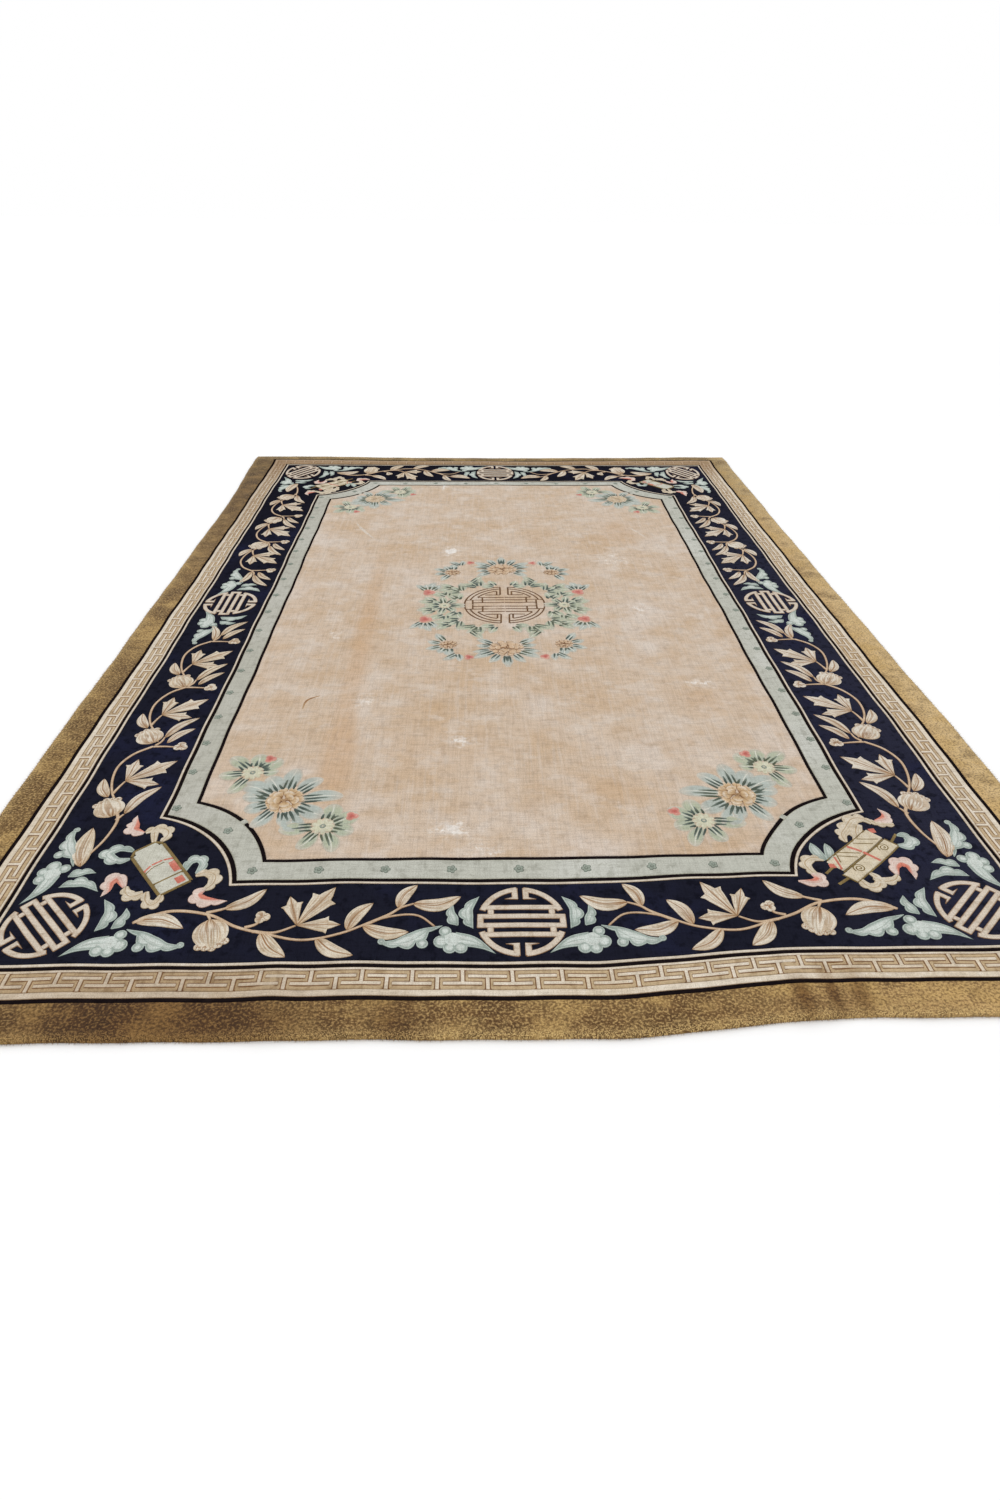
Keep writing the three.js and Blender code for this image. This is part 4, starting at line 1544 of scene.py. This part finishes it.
def sprays(make, wreath, corners):
    """What make builds for each row, in all four quarters, and once only for a flower on a centre line."""
    parts = []
    for middle, rows in ((WREATH_CENTRE, wreath), ((0, 0), corners)):
        for place, quarter in zip(quarter_places(middle), QUARTERS):
            if rows is corners:
                place = place._replace(origin=CORNER_SHIFTS.get(quarter, (0, 0)))
            for row in rows:
                if make in (fan, slits) or (row.x != 0 or quarter[0] > 0) and (row.y != 0 or quarter[1] > 0):
                    parts += make(place, row)
    return parts


# Blue green and grey green silks: dark slits at the roots, a pale midrib, and tips that fade into the field.
# Peony silk is peach or ochre with pale tips and brown shadows. Small flowers are celadon, buds faded red.
LEAF_LAYERS = [
    Layer("tip", 0.5, 0.0, 0.4, "#A0AAA2"),
    Layer("fan", 0.42, 0.58, 0.3, "#A9B3AB"),
    Layer("edge", 10.0, 2.0, 0.8, "#CBBFAF"),
    Layer("vein", 2.6, 1.0, 0.8, "#DFDFD4"),
    Layer("tip", 0.55, 1.0, 0.8, "#CBC2B4"),
]
blue_silk = silk("blue green leaf silk", "#B7BFB8", LEAF_LAYERS)
green_silk = silk("grey green leaf silk", "#B6BCA2", LEAF_LAYERS)
SLIT_LAYERS = [
    Layer("cloud", 0.48, 0.58, 0.8, "#5A614A"),
    Layer("tip", 0.35, 1.0, 0.8, "#96A196"),
]
slit_silk = silk("dark teal silk", "#46544C", SLIT_LAYERS)
peony_silk = silk(
    "peach peony silk",
    "#D0B188",
    [
        Layer("mottle", 0.5, 0.66, 0.6, "#E0CCAE"),
        Layer("tip", 0.5, 1.0, 0.9, "#E6D8C4"),
        Layer("tip", 0.5, 0.0, 0.9, "#82562A"),
        Layer("fan", 0.42, 0.58, "core", "#86592A"),
        Layer("edge", 3.4, 1.0, 0.9, "#84592C"),
        Layer("Y", 0.2, 1.2, 0.5, "#CBBDA4"),
    ],
)
pale_silk = silk(
    "celadon flower silk",
    "#CFCDB2",
    [Layer("fan", 0.42, 0.58, 0.5, "#DAD8C6"), Layer("edge", 9.0, 1.0, 0.8, "#CFC0A8")],
)
RED_LAYERS = [
    Layer("mottle", 0.5, 0.66, 0.7, "#DDB0A2"),
    Layer("core", 0.35, 0.9, 0.8, "#B8564D"),
    Layer("edge", 8.0, 0.6, 0.8, "#D3B6A2"),
]
red_silk = silk("faded red bud silk", "#D0887B", RED_LAYERS)
ochre_silk = silk(
    "ochre peony silk",
    "#D0B292",
    [
        Layer("tip", 0.6, 1.0, 0.7, "#DFCCB4"),
        Layer("tip", 0.5, 0.0, 0.9, "#83582B"),
        Layer("edge", 5.5, 2.0, 0.95, "#7C5630"),
    ],
)
rug_piece("blue_green_leaves", sprays(fan, WREATH_BLUE, CORNER_BLUE), blue_silk)
rug_piece("grey_green_leaves", sprays(fan, WREATH_GREEN, CORNER_GREEN), green_silk)
rug_piece("leaf_slits", sprays(slits, WREATH_BLUE + WREATH_GREEN, CORNER_BLUE + CORNER_GREEN), slit_silk)
rug_piece("wreath_peonies", sprays(peony, WREATH_PEONIES, []), ochre_silk)
rug_piece("corner_peonies", sprays(peony, [], CORNER_PEONIES), peony_silk)
rug_piece("pale_flowers", sprays(pale_flower, WREATH_FLOWERS, CORNER_FLOWERS), pale_silk)
rug_piece("flower_eyes", sprays(flower_eye, WREATH_FLOWERS, CORNER_FLOWERS), rosette_silk)
rug_piece("red_buds", sprays(red_bud, WREATH_BUDS, CORNER_BUDS), red_silk)


# The rug lies on a plain pale floor, in soft light from all round, seen by a person standing at its front.
FLOOR_SIZE = 60
FLOOR_DROP = 0.0005  # keeps the floor just under the rug
bpy.ops.mesh.primitive_plane_add(size=FLOOR_SIZE, location=(0, 0, -FLOOR_DROP))
floor = bpy.context.object
floor.name = "floor"
paint = bpy.data.materials.new("pale floor")
paint.use_nodes = True
paint.node_tree.nodes["Principled BSDF"].inputs["Base Color"].default_value = linear("#FBFBFB")
paint.node_tree.nodes["Principled BSDF"].inputs["Roughness"].default_value = 0.9
floor.data.materials.append(paint)

scene = bpy.context.scene
world = bpy.data.worlds.new("soft light")
world.use_nodes = True
world.node_tree.nodes["Background"].inputs["Color"].default_value = (1, 1, 1, 1)
scene.world = world
WINDOW_TURN = np.radians((-38, -25, 0))
WINDOW_STRENGTH = 0.3
WINDOW_SPREAD = np.radians(40)  # so wide that shadows are soft
bpy.ops.object.light_add(type="SUN", rotation=WINDOW_TURN)
window = bpy.context.object
window.data.energy = WINDOW_STRENGTH
window.data.angle = WINDOW_SPREAD

CAMERA_PLACE = (-0.1032, -3.1798, 1.5555)
CAMERA_PITCH, CAMERA_YAW, CAMERA_ROLL = np.radians((36.47, -1.767, 0.679))
FOCAL_PIXELS, IMAGE_HEIGHT = 790.15, 1500
SENSOR_WIDTH = 36
level_way = np.array([-np.sin(CAMERA_YAW), np.cos(CAMERA_YAW), 0])
forward = level_way * np.cos(CAMERA_PITCH) - np.array([0, 0, np.sin(CAMERA_PITCH)])
level = np.array([np.cos(CAMERA_YAW), np.sin(CAMERA_YAW), 0])
upright = np.cross(level, forward)
right = np.cos(CAMERA_ROLL) * level + np.sin(CAMERA_ROLL) * upright
up = np.cos(CAMERA_ROLL) * upright - np.sin(CAMERA_ROLL) * level
bpy.ops.object.camera_add()
camera = bpy.context.object
turned = Matrix(np.column_stack([right, up, -forward]).tolist()).to_4x4()
camera.matrix_world = Matrix.Translation(CAMERA_PLACE) @ turned
camera.data.sensor_width = SENSOR_WIDTH
camera.data.lens = SENSOR_WIDTH * FOCAL_PIXELS / IMAGE_HEIGHT
scene.camera = camera
scene.view_settings.view_transform = "Standard"
